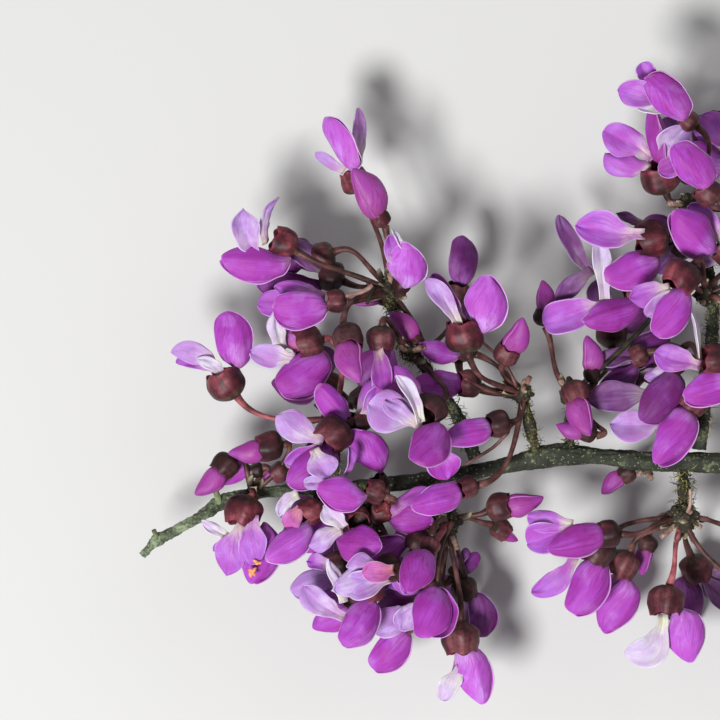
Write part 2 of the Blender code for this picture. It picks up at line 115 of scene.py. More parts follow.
# Blooms: the middle of the calyx, the keel's heading and pitch, the roll that the wings stand at (0 above the
# keel, 90 to its left), how far they open from it and from each other, the size against a full bloom, and the
# size of the calyx against the usual one
Bloom = namedtuple("Bloom", "x y z heading pitch roll spread splay size cup", defaults=(1.0,))
BLOOMS = {
    "upper_left": (
        Bloom(-10.6, 42.9, 1.6, 118, 4, 142, 50, 40, 1.02),
        Bloom(-3.9, 27.9, 6.5, 91, 36, 90, 40, 15, 0.93, 0.7),
        Bloom(-21.0, 33.7, 5.0, 178, 8, -90, 80, 15, 1.0, 1.1),
        Bloom(-13.4, 25.5, 5.6, 182, 10, -75, 40, 15, 0.95, 0.75),
    ),
    "upper_mid": (
        Bloom(0.1, 10.1, 12.2, 251, 42, -90, 85, 15, 1.0),
        Bloom(-6.9, 20.2, 8.8, 262, -12, -60, 30, 15, 0.86),
    ),
    "centre": (
        Bloom(4.9, 20.6, 11.0, 83, 12, 90, 55, 15, 1.0),
        Bloom(5.4, -1.0, 10.0, 194, 14, -90, 12, 15, 0.9, 0.75),
    ),
    "left": (
        Bloom(-28.9, 13.9, 4.0, 102, 4, 90, 80, 15, 0.98),
        Bloom(-17.5, 19.6, 3.2, 222, 12, -90, 60, 15, 1.05),
        Bloom(-13.6, 6.4, 8.2, 222, 12, -90, 57, 15, 1.0),
    ),
    "twig": (
        Bloom(-26.4, -4.6, 4.6, 257, 6, -90, 80, 20, 1.0, 1.15),
    ),
    "low_left": (
        Bloom(-17.0, -4.6, 5.3, 222, 20, -90, 75, 15, 0.88),
        Bloom(-7.9, -1.7, 12.0, 170, 12, -90, 50, 15, 0.84),
        Bloom(-10.4, -5.6, 7.4, 348, 34, 90, 75, 15, 0.9),
        Bloom(-8.5, -15.6, 4.3, 243, 20, -90, 65, 15, 0.95),
        Bloom(-13.0, -12.3, -0.7, 203, 0, -90, 40, 15, 0.8),
    ),
    "low": (
        Bloom(-0.1, -9.2, 12.3, 250, 38, 90, 20, 15, 0.95, 0.7),
        Bloom(0.3, -15.6, 5.5, 263, 32, -90, 25, 35, 1.0, 0.8),
        Bloom(-5.9, -12.6, 9.6, 194, 15, -90, 30, 30, 0.9),
        Bloom(-7.0, -4.6, 4.2, 355, 9, 65, 45, 15, 0.75),
        Bloom(-3.2, -20.2, -0.5, 232, -4, -90, 35, 15, 0.9),
        Bloom(4.6, -22.8, 2.0, 283, 2, -90, 40, 15, 1.0),
    ),
    "low_right": (
        Bloom(25.4, -7.9, 6.0, 192, 8, -90, 35, 15, 1.0),
        Bloom(24.3, -10.4, 1.0, 250, 6, -90, 35, 15, 1.06),
        Bloom(28.0, -12.4, -3.0, 250, -6, -90, 20, 15, 1.0),
        Bloom(34.0, -17.4, 3.0, 287, 4, -90, 50, 15, 0.95),
        Bloom(44.6, -14.5, 3.0, 305, 6, 90, 55, 15, 1.0),
    ),
    "right_mid": (
        Bloom(29.4, 26.5, 2.6, 203, 16, -90, 40, 15, 0.92),
    ),
    "far_top": (
        Bloom(37.1, 51.2, 8.0, 133, 8, 90, 35, 15, 0.95, 0.75),
        Bloom(33.1, 43.3, 1.2, 101, 10, 160, 30, 55, 1.0),
        Bloom(39.6, 40.9, 12.9, 129, 12, 90, 50, 15, 0.97),
        Bloom(44.5, 46.0, -2.0, 172, 4, -90, 40, 15, 1.0),
    ),
    "far_upper": (
        Bloom(31.6, 34.3, 6.0, 205, 12, -90, 55, 15, 1.0),
        Bloom(35.8, 28.8, 11.0, 243, 12, -90, 55, 15, 0.95),
        Bloom(42.4, 32.6, 6.6, 140, 20, -90, 30, 20, 1.03),
        Bloom(49.4, 31.2, 0.6, 20, 10, -90, 50, 15, 1.0),
    ),
    "far_mid": (
        Bloom(34.8, 17.2, 4.5, 240, 6, -90, 40, 15, 1.03),
        Bloom(40.4, 17.1, 10.6, 195, 12, -90, 55, 15, 0.95),
        Bloom(37.8, 10.9, 5.6, 231, 6, -90, 20, 15, 1.05),
    ),
    "end": (
        Bloom(51.6, 10.0, 9.6, 120, 16, 90, 55, 15, 1.0),
        Bloom(61.0, 10.6, 5.0, 40, 12, 90, 50, 15, 1.0),
        Bloom(57.6, -8.2, 6.0, 290, 12, -90, 50, 15, 1.0),
    ),
}

# Closed buds, shaded blooms and the blooms underneath, which are one solid with their spur
FUSED = {
    "upper_left": (
        Bloom(-14.2, 29.0, -1.0, 180, 0, -90, 40, 15, 0.95),
        Bloom(-7.0, 37.3, 7.2, 120, 20, 60, 6, 15, 1.08, 0.55),
        Bloom(-11.9, 20.3, 12.5, 285, 30, 100, 8, 15, 0.95),
        Bloom(-15.4, 32.2, -0.8, 196, -16, 90, 12, 15, 0.85),
        Bloom(-6.2, 26.4, -2.4, 190, 0, 90, 6, 15, 0.62),
        Bloom(-1.8, 19.8, 2.8, 132, 6, 90, 6, 15, 0.72, 0.7),
    ),
    "upper_mid": (
        Bloom(3.9, 26.6, -2.6, 88, 12, 60, 12, 15, 0.88),
    ),
    "centre": (
        Bloom(5.6, 13.6, 4.8, 172, 12, -90, 12, 15, 0.85),
        Bloom(9.7, 7.9, 8.0, 188, 16, -90, 12, 15, 0.85),
        Bloom(11.0, 18.0, 7.0, 66, 30, 90, 6, 15, 0.8),
        Bloom(5.2, 18.3, 3.2, 166, 12, -90, 12, 15, 0.62),
        Bloom(4.2, 18.6, -7.6, 92, -16, 90, 12, 15, 0.9),
    ),
    "left": (
        Bloom(-10.4, 8.2, 5.0, 132, 14, -90, 70, 15, 0.8),
        Bloom(-14.6, 13.4, -6.8, 172, -14, -90, 45, 15, 0.82),
        Bloom(-9.6, 11.6, -0.6, 60, 10, -90, 45, 15, 0.85),
        Bloom(-21.7, 1.2, 1.8, 216, -6, 90, 6, 15, 0.34, 1.9),
    ),
    "twig": (
        Bloom(-29.2, 1.9, 3.0, 222, 8, -90, 6, 15, 0.76, 1.1),
        Bloom(-22.9, 4.7, 4.0, 188, 6, -90, 6, 15, 0.74, 1.25),
        Bloom(-24.8, 1.4, 1.0, 200, -6, 90, 12, 15, 0.64, 0.75),
    ),
    "low_left": (
        Bloom(-11.0, -17.2, 0.4, 212, -8, -90, 30, 15, 0.72),
        Bloom(-7.0, -0.2, 5.0, 123, 20, 90, 12, 15, 0.9, 0.6),
        Bloom(-13.0, -5.6, -8.0, 208, -22, 90, 45, 15, 0.95),
        Bloom(-14.2, -2.6, 0.4, 240, -4, -90, 40, 15, 0.9),
        Bloom(-7.6, -9.4, 2.0, 262, 0, 90, 40, 15, 0.9),
    ),
    "low": (
        Bloom(5.2, -15.8, -2.4, 290, -14, -90, 30, 15, 0.8),
        Bloom(10.0, -4.1, 2.0, 14, 6, 90, 6, 15, 0.8, 1.1),
        Bloom(-1.0, -13.5, -8.0, 255, -22, 90, 45, 15, 1.0),
        Bloom(0.8, -6.4, -8.0, 205, -22, 90, 6, 15, 0.9),
        Bloom(-1.6, -9.0, 3.6, 214, 4, 90, 40, 15, 0.9),
        Bloom(-2.4, -14.6, -2.6, 222, -10, -90, 40, 15, 0.9),
        Bloom(3.8, -13.5, -3.4, 46, 0, 90, 20, 15, 0.45),
        Bloom(10.2, -7.3, -1.6, 328, -10, 90, 6, 15, 0.38, 1.8),
    ),
    "low_right": (
        Bloom(31.4, -9.3, -5.0, 262, -6, 90, 6, 15, 0.6),
        Bloom(38.5, -13.0, -8.0, 265, -22, 90, 45, 15, 1.0),
        Bloom(45.5, -7.5, -1.0, 340, 6, 90, 6, 15, 0.8),
    ),
    "right_mid": (
        Bloom(16.6, 23.3, -1.0, 94, 0, 90, 6, 15, 0.66),
        Bloom(23.4, 15.0, 1.0, 98, 8, 90, 6, 15, 0.72, 0.75),
        Bloom(20.6, 12.4, 5.0, 290, 20, 90, 6, 15, 0.85),
        Bloom(22.6, 6.7, 4.6, 165, 6, -90, 8, 15, 0.6),
        Bloom(26.6, 20.8, -8.0, 62, -18, 90, 45, 15, 0.95),
        Bloom(28.6, 14.8, -2.6, 40, -6, -90, 40, 15, 0.85),
    ),
    "far_top": (
        Bloom(46.0, 42.0, 6.0, 35, 15, 90, 50, 15, 1.0),
        Bloom(38.5, 44.5, -7.6, 75, -22, 90, 45, 15, 1.0),
    ),
    "far_upper": (
        Bloom(47.0, 23.0, 9.2, 335, 20, 0, 6, 15, 0.8),
        Bloom(36.4, 33.4, -3.6, 150, -10, 90, 45, 15, 0.7),
        Bloom(44.6, 30.6, -5.0, 30, -14, 90, 45, 15, 0.9),
    ),
    "far_mid": (
        Bloom(48.0, 14.0, 2.6, 350, 8, 90, 45, 15, 0.95),
        Bloom(30.0, 17.6, -1.0, 217, 0, -90, 30, 15, 0.7),
    ),
    "stem_right": (
        Bloom(28.4, 0.9, -4.6, 222, -6, 90, 6, 15, 0.6),
    ),
    "end": (
        Bloom(64.5, 4.5, 8.5, 5, 20, 90, 6, 15, 0.85),
        Bloom(52.8, -7.5, 4.0, 255, 6, 90, 6, 15, 0.8),
        Bloom(58.5, 11.5, -8.0, 60, -22, 90, 45, 15, 1.0),
    ),
}

# Free petals as the picture shows them, by the number of their bloom: foot and tip from the middle of the calyx,
# the breadth, the turn of the face from straight up, the bow to the left of the way it points, the look, and
# how pointed its end is where that is not left to chance.
# Blooms without a row here open their wings by spread and splay.
Petal = namedtuple("Petal", "x y z tip_x tip_y tip_z width turn bow look point", defaults=(None,))
PETALS = {
    1: (
        Petal(0.2, 2.2, -1.2, 0.4, 10.4, -0.8, 2.4, 35, 0.4, "pale"),
        Petal(-1.6, 1.4, -1.2, -5.8, 4.0, -0.8, 1.9, -30, 0.0, "pale"),
    ),
    2: (
        Petal(-0.6, 2.8, 2.2, -1.9, 7.0, 3.6, 2.3, 0, 0.3, "wing"),
        Petal(0.2, 4.8, 3.4, -1.6, 7.8, 3.9, 1.0, 30, 0.3, "white"),
    ),
    3: (
        Petal(-3.6, -2.0, 0.2, -5.7, 5.1, 1.4, 4.3, 0, 0.5, "pale", 1.5),
        Petal(-2.3, 0.1, -0.4, -0.6, 6.7, -0.2, 1.9, 40, 1.9, "pale", 1.5),
        Petal(-3.1, 1.6, -1.0, -2.2, 3.4, -0.6, 1.1, 0, 0.0, "white"),
    ),
    4: (
        Petal(-1.6, 0.7, -0.8, -8.8, 2.1, -1.2, 2.8, 15, 0.0, "wing"),
        Petal(-1.6, -0.3, -1.6, -11.3, -0.4, -2.2, 4.4, 0, 0.0, "wing"),
    ),
    5: (
        Petal(-1.4, -2.0, 1.4, -8.8, 0.7, 1.8, 6.0, 0, 0.0, "pale"),
        Petal(-1.6, -1.8, 2.4, -5.0, 4.9, 3.4, 2.1, 30, -0.3, "white", 0.9),
        Petal(-1.8, -2.1, 2.6, -6.7, 1.1, 3.1, 2.7, 0, 0.0, "pale"),
        Petal(1.2, -4.8, -1.5, 2.3, -9.9, -1.8, 4.8, 0, 0.0, "keel"),
        Petal(-1.1, 0.9, -1.0, -5.7, 6.1, -1.0, 3.6, 0, 0.0, "banner"),
    ),
    6: (
        Petal(-0.4, -1.4, 0.8, 0.4, -7.2, 1.4, 3.0, 20, 0.3, "banner"),
    ),
    7: (
        Petal(-1.0, 1.4, 1.2, -5.7, 7.9, 1.8, 2.7, 20, -0.4, "pale"),
        Petal(-0.5, 2.0, -0.6, -4.6, 8.6, -0.8, 3.0, 0, 0.0, "banner"),
    ),
    9: (
        Petal(-1.4, 1.2, 0.6, -8.1, 4.3, 0.8, 3.0, 0, -1.4, "pale"),
        Petal(-1.2, 1.4, -0.8, -7.4, 2.8, -0.9, 2.4, 0, -1.1, "wing"),
        Petal(-0.9, 1.2, 0.9, -4.4, 3.3, 1.5, 2.0, 0, -0.5, "white", 1.0),
    ),
    10: (
        Petal(-1.8, -2.2, 0.8, -8.2, -1.3, 1.1, 3.8, 0, 0.2, "pale"),
        Petal(-3.4, -1.0, -0.3, -4.9, 4.5, 2.8, 2.7, 20, 0.5, "white", 1.5),
        Petal(-1.0, -0.8, -1.2, -2.8, 3.4, -1.0, 3.6, 0, 0.0, "banner"),
        Petal(-1.2, -1.2, -0.6, -3.3, 2.4, -0.6, 2.8, 0, 0.0, "blush"),
    ),
    11: (
        Petal(-1.6, -0.8, 1.4, -8.3, 2.8, 1.8, 4.6, 10, 0.3, "pale"),
        Petal(-2.0, -1.6, 0.6, -7.0, -4.0, 0.5, 2.4, 0, 0.0, "wing"),
        Petal(-2.9, -1.9, 2.8, -0.9, -5.9, 3.8, 4.2, 0, 0.0, "pale"),
    ),
    12: (
        Petal(1.2, -0.4, 1.8, 1.2, -7.4, 2.6, 3.9, 0, 0.0, "bright"),
        Petal(-0.4, -1.6, 1.2, -2.6, -9.0, 1.4, 4.6, 0, -0.5, "bright"),
        Petal(-1.4, -4.2, 0.9, -4.5, -5.4, 0.8, 1.8, 0, 0.0, "bright"),
        Petal(-1.8, -3.8, 0.2, -6.2, -1.2, 0.4, 1.6, 20, 0.3, "white", 0.9),
    ),
    13: (
        Petal(-1.8, 2.6, 0.4, -4.5, -0.6, 0.3, 2.1, 0, -0.6, "white", 0.9),
        Petal(-1.4, 0.6, 1.2, -3.8, -2.0, 1.2, 2.8, 0, 0.0, "blush"),
    ),
    14: (
        Petal(-6.4, 1.6, -1.2, -10.0, 1.4, -1.4, 2.0, 0, 0.0, "pale"),
        Petal(-4.6, 2.4, -0.8, -3.8, 6.4, -0.6, 1.8, 60, 0.0, "wing"),
    ),
    15: (
        Petal(-2.2, -1.3, 1.2, -6.8, -3.8, 1.0, 3.2, 0, 0.0, "pale"),
        Petal(-1.9, -1.1, 0.9, -4.7, 2.0, 0.8, 3.0, 0, 0.0, "white"),
    ),
    16: (
        Petal(-3.7, -4.0, 0.6, -9.6, 0.4, 0.9, 3.8, 0, 0.5, "pale"),
        Petal(-3.7, -1.9, 1.0, -6.2, 4.3, 2.0, 2.2, 30, -0.3, "white", 0.9),
    ),
    17: (
        Petal(-1.2, 0.2, 0.2, -4.6, 0.5, 0.2, 2.3, 0, 0.0, "wing"),
    ),
    18: (
        Petal(-0.4, -1.0, -1.6, -1.8, -6.0, -2.6, 3.0, 0, 0.0, "wing"),
    ),
    19: (
        Petal(-1.0, -1.6, -1.0, -4.4, -5.8, -1.6, 3.6, 0, 0.0, "pale"),
    ),
    20: (
        Petal(0.2, -1.2, 1.2, -6.2, -2.8, 1.8, 4.6, 0, 0.0, "pale"),
        Petal(-0.4, 0.0, 1.6, -6.0, 0.5, 2.3, 3.6, 0, 0.0, "pale"),
        Petal(0.6, 0.0, 2.4, -3.8, -0.5, 3.3, 3.4, 0, 0.0, "blush"),
    ),
    21: (
        Petal(0.4, -0.6, 0.8, 6.8, 3.4, 0.8, 2.8, 0, 0.0, "banner"),
    ),
    22: (
        Petal(1.5, 1.3, 1.2, -5.2, -1.2, 2.4, 4.7, 0, 0.0, "pale"),
        Petal(2.5, 1.9, 1.8, -1.8, -0.5, 3.2, 3.7, 0, 0.0, "pale"),
    ),
    23: (
        Petal(-0.2, -4.2, 0.2, -3.0, -8.7, 0.4, 2.9, 0, 0.0, "white"),
        Petal(-0.4, -2.4, -0.8, -0.9, -7.0, -0.9, 1.8, 0, 0.0, "wing"),
    ),
    24: (
        Petal(-5.0, 1.5, -0.4, -11.5, 2.6, -0.3, 3.3, 0, 0.0, "bright"),
        Petal(-5.4, 1.2, -1.2, -11.5, -1.3, -1.5, 5.0, 0, 0.0, "bright"),
    ),
    25: (
        Petal(-3.6, -0.6, -0.2, -9.7, -5.8, 0.0, 3.3, 0, 1.2, "bright", 0.5),
    ),
    26: (
        Petal(-0.4, -1.0, -0.8, -4.0, -6.0, -1.2, 3.0, 0, 0.0, "wing"),
    ),
    27: (
        Petal(-0.7, -1.8, 0.4, -6.2, -7.4, 0.6, 4.4, 0, 2.2, "white"),
    ),
    29: (
        Petal(-4.0, -1.4, 0.2, -13.1, -4.2, -0.4, 5.4, 0, 0.0, "bright"),
        Petal(-4.4, -0.6, 1.0, -5.2, 8.2, 1.4, 2.5, 0, 0.0, "white"),
        Petal(-6.1, 3.6, -1.6, -11.0, -1.1, -1.8, 2.6, 0, -0.4, "petal_in_painted_shade"),
        Petal(-6.3, 3.1, -1.8, -10.9, 11.4, -1.8, 2.7, 0, 0.4, "petal_in_painted_shade"),
    ),
    30: (
        Petal(-3.8, 2.4, -0.4, -10.4, 4.4, -0.4, 4.4, 0, -0.3, "bright"),
        Petal(-3.4, 1.6, -1.2, -8.2, 2.7, -1.4, 2.0, 0, 0.0, "white"),
        Petal(-4.8, 4.2, -1.6, -6.9, 8.3, -1.2, 3.0, 0, 0.0, "bright", 0.45),
    ),
    31: (
        Petal(-1.4, 2.8, 1.0, -8.3, 6.6, 1.2, 4.8, 0, -0.4, "bright"),
        Petal(-1.4, 1.8, 0.6, -7.9, 3.5, 0.4, 4.5, 0, 0.7, "bright"),
        Petal(-0.2, 2.6, 1.6, 3.5, 7.2, 5.0, 4.6, 0, 0.0, "pale"),
    ),
    32: (
        Petal(-3.2, 5.7, -0.6, -7.2, 2.9, -0.8, 2.9, 0, 0.3, "banner"),
    ),
    34: (
        Petal(-1.1, 0.8, 2.2, -10.9, 2.0, 1.6, 5.2, 0, 0.3, "bright"),
        Petal(-1.3, 2.3, -0.4, -5.0, 3.8, -0.4, 1.5, 0, 0.0, "petal_in_painted_shade", 1.2),
    ),
    35: (
        Petal(-1.8, -1.4, 0.8, -7.5, -2.9, 0.9, 3.6, 0, 0.0, "wing"),
        Petal(-1.8, -2.0, 0.4, -5.0, -5.4, 0.2, 3.0, 0, 0.0, "pale"),
    ),
    36: (
        Petal(-0.4, 1.4, -0.6, -5.4, 6.6, -0.6, 4.0, 0, 0.0, "wing"),
        Petal(-1.2, -0.8, -0.6, -4.5, -1.6, -0.8, 2.3, 0, 0.0, "pale"),
    ),
    38: (
        Petal(-1.2, -8.5, -1.0, -9.1, -9.3, -1.4, 4.6, 0, 0.5, "pale", 0.9),
        Petal(-2.4, -4.9, -1.4, -12.2, -5.7, -1.8, 4.4, 0, 0.0, "petal_in_painted_shade"),
        Petal(0.0, -1.0, -0.4, -4.0, -2.7, -0.4, 2.0, 0, 0.0, "pale"),
    ),
    39: (
        Petal(-2.2, -0.8, 0.8, -8.6, 1.0, 0.9, 4.2, 0, 0.0, "wing"),
        Petal(-2.3, -0.2, 0.2, -4.2, 8.6, 0.2, 1.3, 70, 0.0, "white"),
    ),
    40: (
        Petal(-1.0, 0.4, -1.0, -5.5, -2.0, -1.2, 2.6, 0, 0.0, "wing"),
    ),
}
PALE_KEELS = {1, 2, 7, 13, 20, 23, 27}  # blooms whose keel is paler, and those whose keel is deeper
DEEP_KEELS = {5, 10, 11, 15, 18, 21, 24, 29, 31, 38}
SHADED_DARK_CALYXES = {2, 4, 5, 8, 14, 17, 18, 24, 25, 26, 28, 32}  # blooms whose calyx is dark brown, its darkness partly painted shade, and those with a rosy one
ROSY_CALYXES = {1, 3, 7, 9, 12, 13, 16, 31, 34, 35}
BOLD_CALYXES = {7, 9, 11, 23, 27, 31, 34, 35}  # blooms whose calyx stands clear, and those whose keel hides it
TUCKED_CALYXES = {1, 2, 3, 14, 15, 18, 19, 24, 29, 30, 32, 40}
KEEL_SHAPES = {
    "leaf": (3, 6, 13, 29),
    "blade": (1, 11, 17, 30, 31, 32, 38),
    "egg": (2, 7, 12, 14, 15, 21, 26, 27, 36),
    "block": (4, 5, 9, 10, 16, 19, 22, 25, 28, 34, 35),
    "square": (8, 18, 20, 23, 24, 39, 40),
}
# Where the keel leaves the calyx, ahead of its middle and to the side of the wings, where the picture shows it
KEEL_SEATS = {
    2: (-0.7, -0.2),
    3: (-1.2, -2.0),
    5: (2.2, -1.3),
    7: (0.5, -1.9),
    9: (1.7, -1.9),
    10: (-1.0, -2.6),
    12: (0.8, -3.0),
    15: (-3.2, -3.2),
    19: (-0.6, 0.0),
    24: (0.5, 0.0),
    25: (0.5, 0.0),
    29: (-0.5, -0.5),
    30: (0.7, 0.6),
    31: (2.2, -0.7),
    32: (0.6, 0.0),
    34: (0.1, -2.7),
    39: (-2.0, -3.9),
}
# Bloom 38's keel takes the keel look darkened as painted shade.
KEEL_LOOKS = {17: "pale", 20: "pale", 38: "keel_in_painted_shade"}
KEEL_SLIPS = {19: 13.0}
STALK_LOOKS = {9: "bright", 10: "bright", 12: "bright", 13: "bright", 27: "bright", 29: "dark"}  # "dull" for others; "dark" is a stalk painted near black as shade

# Odd stalks and scraps that stand out of a spur: foot and tip, the diameter and the look
Stick = namedtuple("Stick", "x y z tip_x tip_y tip_z thick look")
STICKS = {
    "main_stem": (
        Stick(-30.3, -3.4, 1.2, -30.7, -1.4, 2.4, 1.0, "green"),
        Stick(-39.1, -8.7, 1.6, -39.5, -7.2, 2.4, 0.8, "green"),
    ),
    "upper_left": (
        Stick(-8.2, 27.8, 6.4, -12.0, 26.1, 7.4, 0.62, "cut"),
        # Two stubs painted near black, as stalks in shade.
        Stick(-7.8, 27.5, 6.8, -9.1, 25.2, 7.6, 0.6, "dark"),
        Stick(-6.6, 26.6, 6.4, -5.6, 24.6, 7.2, 0.45, "dark"),
    ),
    "centre": (
        Stick(11.6, 8.0, 9.2, 5.4, 2.0, 7.6, 0.5, "dull"),
        Stick(12.4, 13.2, 5.0, 7.4, 20.4, 4.6, 0.5, "dull"),
        Stick(12.9, 12.2, 4.4, 4.6, 14.2, 8.6, 0.5, "dull"),
    ),
    "low": (
        Stick(2.3, -6.2, 4.0, -1.2, -11.4, 12.8, 0.9, "bright"),
        Stick(3.2, -6.0, 6.0, 0.6, -15.0, 4.4, 0.7, "dull"),
    ),
    "low_left": (
        Stick(-6.9, 0.8, 7.6, -6.0, -3.4, 8.6, 0.6, "red"),
        Stick(-6.0, -3.2, 8.6, -7.8, -4.4, 8.8, 1.0, "red"),
        Stick(-6.2, -3.4, 8.6, -5.8, -5.2, 8.8, 0.8, "red"),
    ),
    "low_right": (
        Stick(36.8, -4.6, 4.2, 37.3, -1.4, 5.4, 0.5, "cut"),
    ),
}

# One full bloom, millimetres and degrees: its petals run from the middle of the calyx
ANTHER_BLOOM = 12  # the bloom whose anthers show, and where they lie from the middle of its calyx
ANTHERS = ((0.9, -8.2, 3.3), (1.2, -8.7, 3.2), (0.8, -8.7, 3.2), (1.3, -8.2, 3.3), (1.9, -7.2, 3.4), (1.6, -7.0, 3.3))
KEEL_LENGTH = 8.6
KEEL_WIDTH = 2.4
KEEL_GAPE = 0.12  # how far its two rims stand apart
KEEL_SLIP = 6.0  # the most that its far petal turns out from behind the near one
KEEL_START = (1.2, -0.7)  # where it starts unless the table of seats says otherwise
# Outlines of keels as shares of their length: the length against the usual, where the fold runs from -1 to 1,
# then how far the edges lie to the side of the wings and away from it at KEEL_STATIONS
KEEL_STATIONS = (0.0, 0.1, 0.2, 0.3, 0.4, 0.5, 0.6, 0.7, 0.8, 0.9, 1.0)
KEEL_OUTLINES = {
    "leaf": (
        1.18,
        0.2,
        (0.01, 0.02, 0.03, 0.055, 0.115, 0.15, 0.145, 0.105, 0.06, 0.025, 0.0),
        (0.02, 0.11, 0.21, 0.265, 0.325, 0.335, 0.31, 0.245, 0.16, 0.07, 0.0),
    ),
    "blade": (
        1.0,
        0.25,
        (0.02, 0.05, 0.10, 0.15, 0.21, 0.23, 0.22, 0.19, 0.14, 0.07, 0.0),
        (0.04, 0.13, 0.26, 0.30, 0.335, 0.345, 0.315, 0.275, 0.215, 0.11, 0.0),
    ),
    "egg": (
        1.04,
        -0.6,
        (0.02, 0.03, 0.06, 0.13, 0.21, 0.28, 0.255, 0.195, 0.13, 0.06, 0.0),
        (0.02, 0.08, 0.19, 0.32, 0.37, 0.375, 0.33, 0.24, 0.14, 0.06, 0.0),
    ),
    "block": (
        1.0,
        -0.5,
        (0.02, 0.06, 0.13, 0.23, 0.275, 0.29, 0.275, 0.25, 0.22, 0.13, 0.0),
        (0.03, 0.10, 0.21, 0.28, 0.33, 0.35, 0.335, 0.275, 0.18, 0.07, 0.0),
    ),
    "square": (
        0.99,
        -0.2,
        (0.05, 0.15, 0.25, 0.275, 0.295, 0.31, 0.25, 0.17, 0.10, 0.04, 0.0),
        (0.02, 0.07, 0.16, 0.22, 0.25, 0.26, 0.24, 0.19, 0.13, 0.06, 0.0),
    ),
}
BUD_LENGTH = 8.0
BUD_HEIGHT = 4.4
BUD_WIDTH = 3.2
BUD_SAG = 0.12
WING_LENGTH = 8.8
WING_WIDTH = 4.2
WING_APART = 0.7
BANNER_LENGTH = 7.2
BANNER_WIDTH = 4.2
BANNER_LEAN = 28.0
PETAL_THICKNESS = 0.12
CLAW = 0.14  # the share of a free petal that is its narrow claw, and the claw's breadth
CLAW_WIDTH = 1.5
ARCH = (0.2, 0.9)  # how high a free petal arches off its straight line
TWIST = 26.0
CALYX_LENGTH = 4.2
CALYX_WIDTH = 5.2
CALYX_LOBES = 5
CALYX_RIBS = 10
CALYX_WALL = 0.2
CALYX_NECK = 0.15  # its radius at the stalk, as a share, and where it reaches its full width
CALYX_SHOULDER = 0.42
BUD_CALYX = 0.85  # the calyx of a bud, or of a bloom that nearly hides it, against a full one
TUCKED_CALYX = (0.75, 1.3)  # the size of one that the keel hides, and how far it sits below the claws
STALK_DIAMETER = 0.76
STALK_BEND = 0.4
KEEL_FROM = 10  # a bloom that opens less than this is a closed bud
OPEN_FROM = 15  # and one that opens less than this shows no more than its keel
BANNER_FROM = 45  # the upright petal shows on blooms that open at least this far
SCALES = 9  # dry scales on a spur
STUBS = 3  # stalks of fallen blooms on a spur
THREADS = 240  # threads of moss on a spur
BRANCH_THREADS = 420  # and along each side branch
BRANCH_MOSS = 1.4  # and how far they reach there
RIPPLE = 0.3  # how far a petal strays from its even form
WRAP_FROM = 0.72  # where a bud's outer petal starts, in half turns from its underside

CUT_END = Vector(frame["record"]["mounts"][0]["pos_m"])
HOME = Matrix.Translation(CUT_END) @ Matrix.Scale(MM, 4) @ Matrix.Translation(-Vector(ROUTES["main_stem"][-1][:3]))


# Materials


class Finish:
    """A material in the making: its shader, and short ways to the nodes that the finishes here share."""

    def __init__(self, name, roughness, **sockets):
        self.material = bpy.data.materials.new(name)
        self.material.use_nodes = True
        self.tree = self.material.node_tree
        self.shader = self.tree.nodes["Principled BSDF"]
        self.shader.inputs["Roughness"].default_value = roughness
        for socket, value in sockets.items():
            self.shader.inputs[socket.replace("_", " ")].default_value = value

    def link(self, source, node, socket):
        if hasattr(source, "is_output"):
            self.tree.links.new(source, node.inputs[socket])
        else:
            node.inputs[socket].default_value = source

    def place(self):
        return self.tree.nodes.new("ShaderNodeTexCoord").outputs["Object"]

    def uv(self):
        """How far along and how far across a petal, from 0 to 1."""
        spot = self.tree.nodes.new("ShaderNodeTexCoord").outputs["UV"]
        split = self.tree.nodes.new("ShaderNodeSeparateXYZ")
        self.link(spot, split, 0)
        return split.outputs["X"], split.outputs["Y"]

    def add(self, first, second):
        node = self.tree.nodes.new("ShaderNodeVectorMath")
        self.link(first, node, 0)
        self.link(second, node, 1)
        return node.outputs[0]

    def stretched(self, source, scale):
        node = self.tree.nodes.new("ShaderNodeMapping")
        node.inputs["Scale"].default_value = scale
        self.link(source, node, "Vector")
        return node.outputs["Vector"]

    def speckle(self, vector, scale, detail=3.0, distortion=0.0):
        node = self.tree.nodes.new("ShaderNodeTexNoise")
        self.link(vector, node, "Vector")
        node.inputs["Scale"].default_value = scale
        node.inputs["Detail"].default_value = detail
        node.inputs["Distortion"].default_value = distortion
        return node.outputs["Fac"]

    def cells(self, vector, scale):
        node = self.tree.nodes.new("ShaderNodeTexVoronoi")
        self.link(vector, node, "Vector")
        node.inputs["Scale"].default_value = scale
        return node.outputs["Distance"]

    def maths(self, operation, first, second=0.0):
        node = self.tree.nodes.new("ShaderNodeMath")
        node.operation = operation
        self.link(first, node, 0)
        self.link(second, node, 1)
        return node.outputs[0]

    def ramp(self, factor, *stops):
        """Colours or shares along factor, each stop a place and what is there."""
        node = self.tree.nodes.new("ShaderNodeValToRGB")
        self.link(factor, node, "Fac")
        marks = node.color_ramp.elements
        while len(marks) < len(stops):
            marks.new(0.5)
        for mark, (spot, what) in zip(marks, stops):
            mark.position = spot
            mark.color = (*what, 1.0) if isinstance(what, tuple) else (what, what, what, 1.0)
        return node.outputs["Color"]

    def mix(self, factor, first, second, way="MIX"):
        node = self.tree.nodes.new("ShaderNodeMix")
        node.data_type = "RGBA"
        node.blend_type = way
        self.link(factor, node, 0)
        self.link(first if not isinstance(first, tuple) else (*first, 1.0), node, 6)
        self.link(second if not isinstance(second, tuple) else (*second, 1.0), node, 7)
        return node.outputs[2]

    def relief(self, height, strength, depth):
        node = self.tree.nodes.new("ShaderNodeBump")
        node.inputs["Strength"].default_value = strength
        node.inputs["Distance"].default_value = depth
        self.link(height, node, "Height")
        self.link(node.outputs["Normal"], self.shader, "Normal")

    def colour(self, source):
        self.link(source, self.shader, "Base Color")
        return self.material


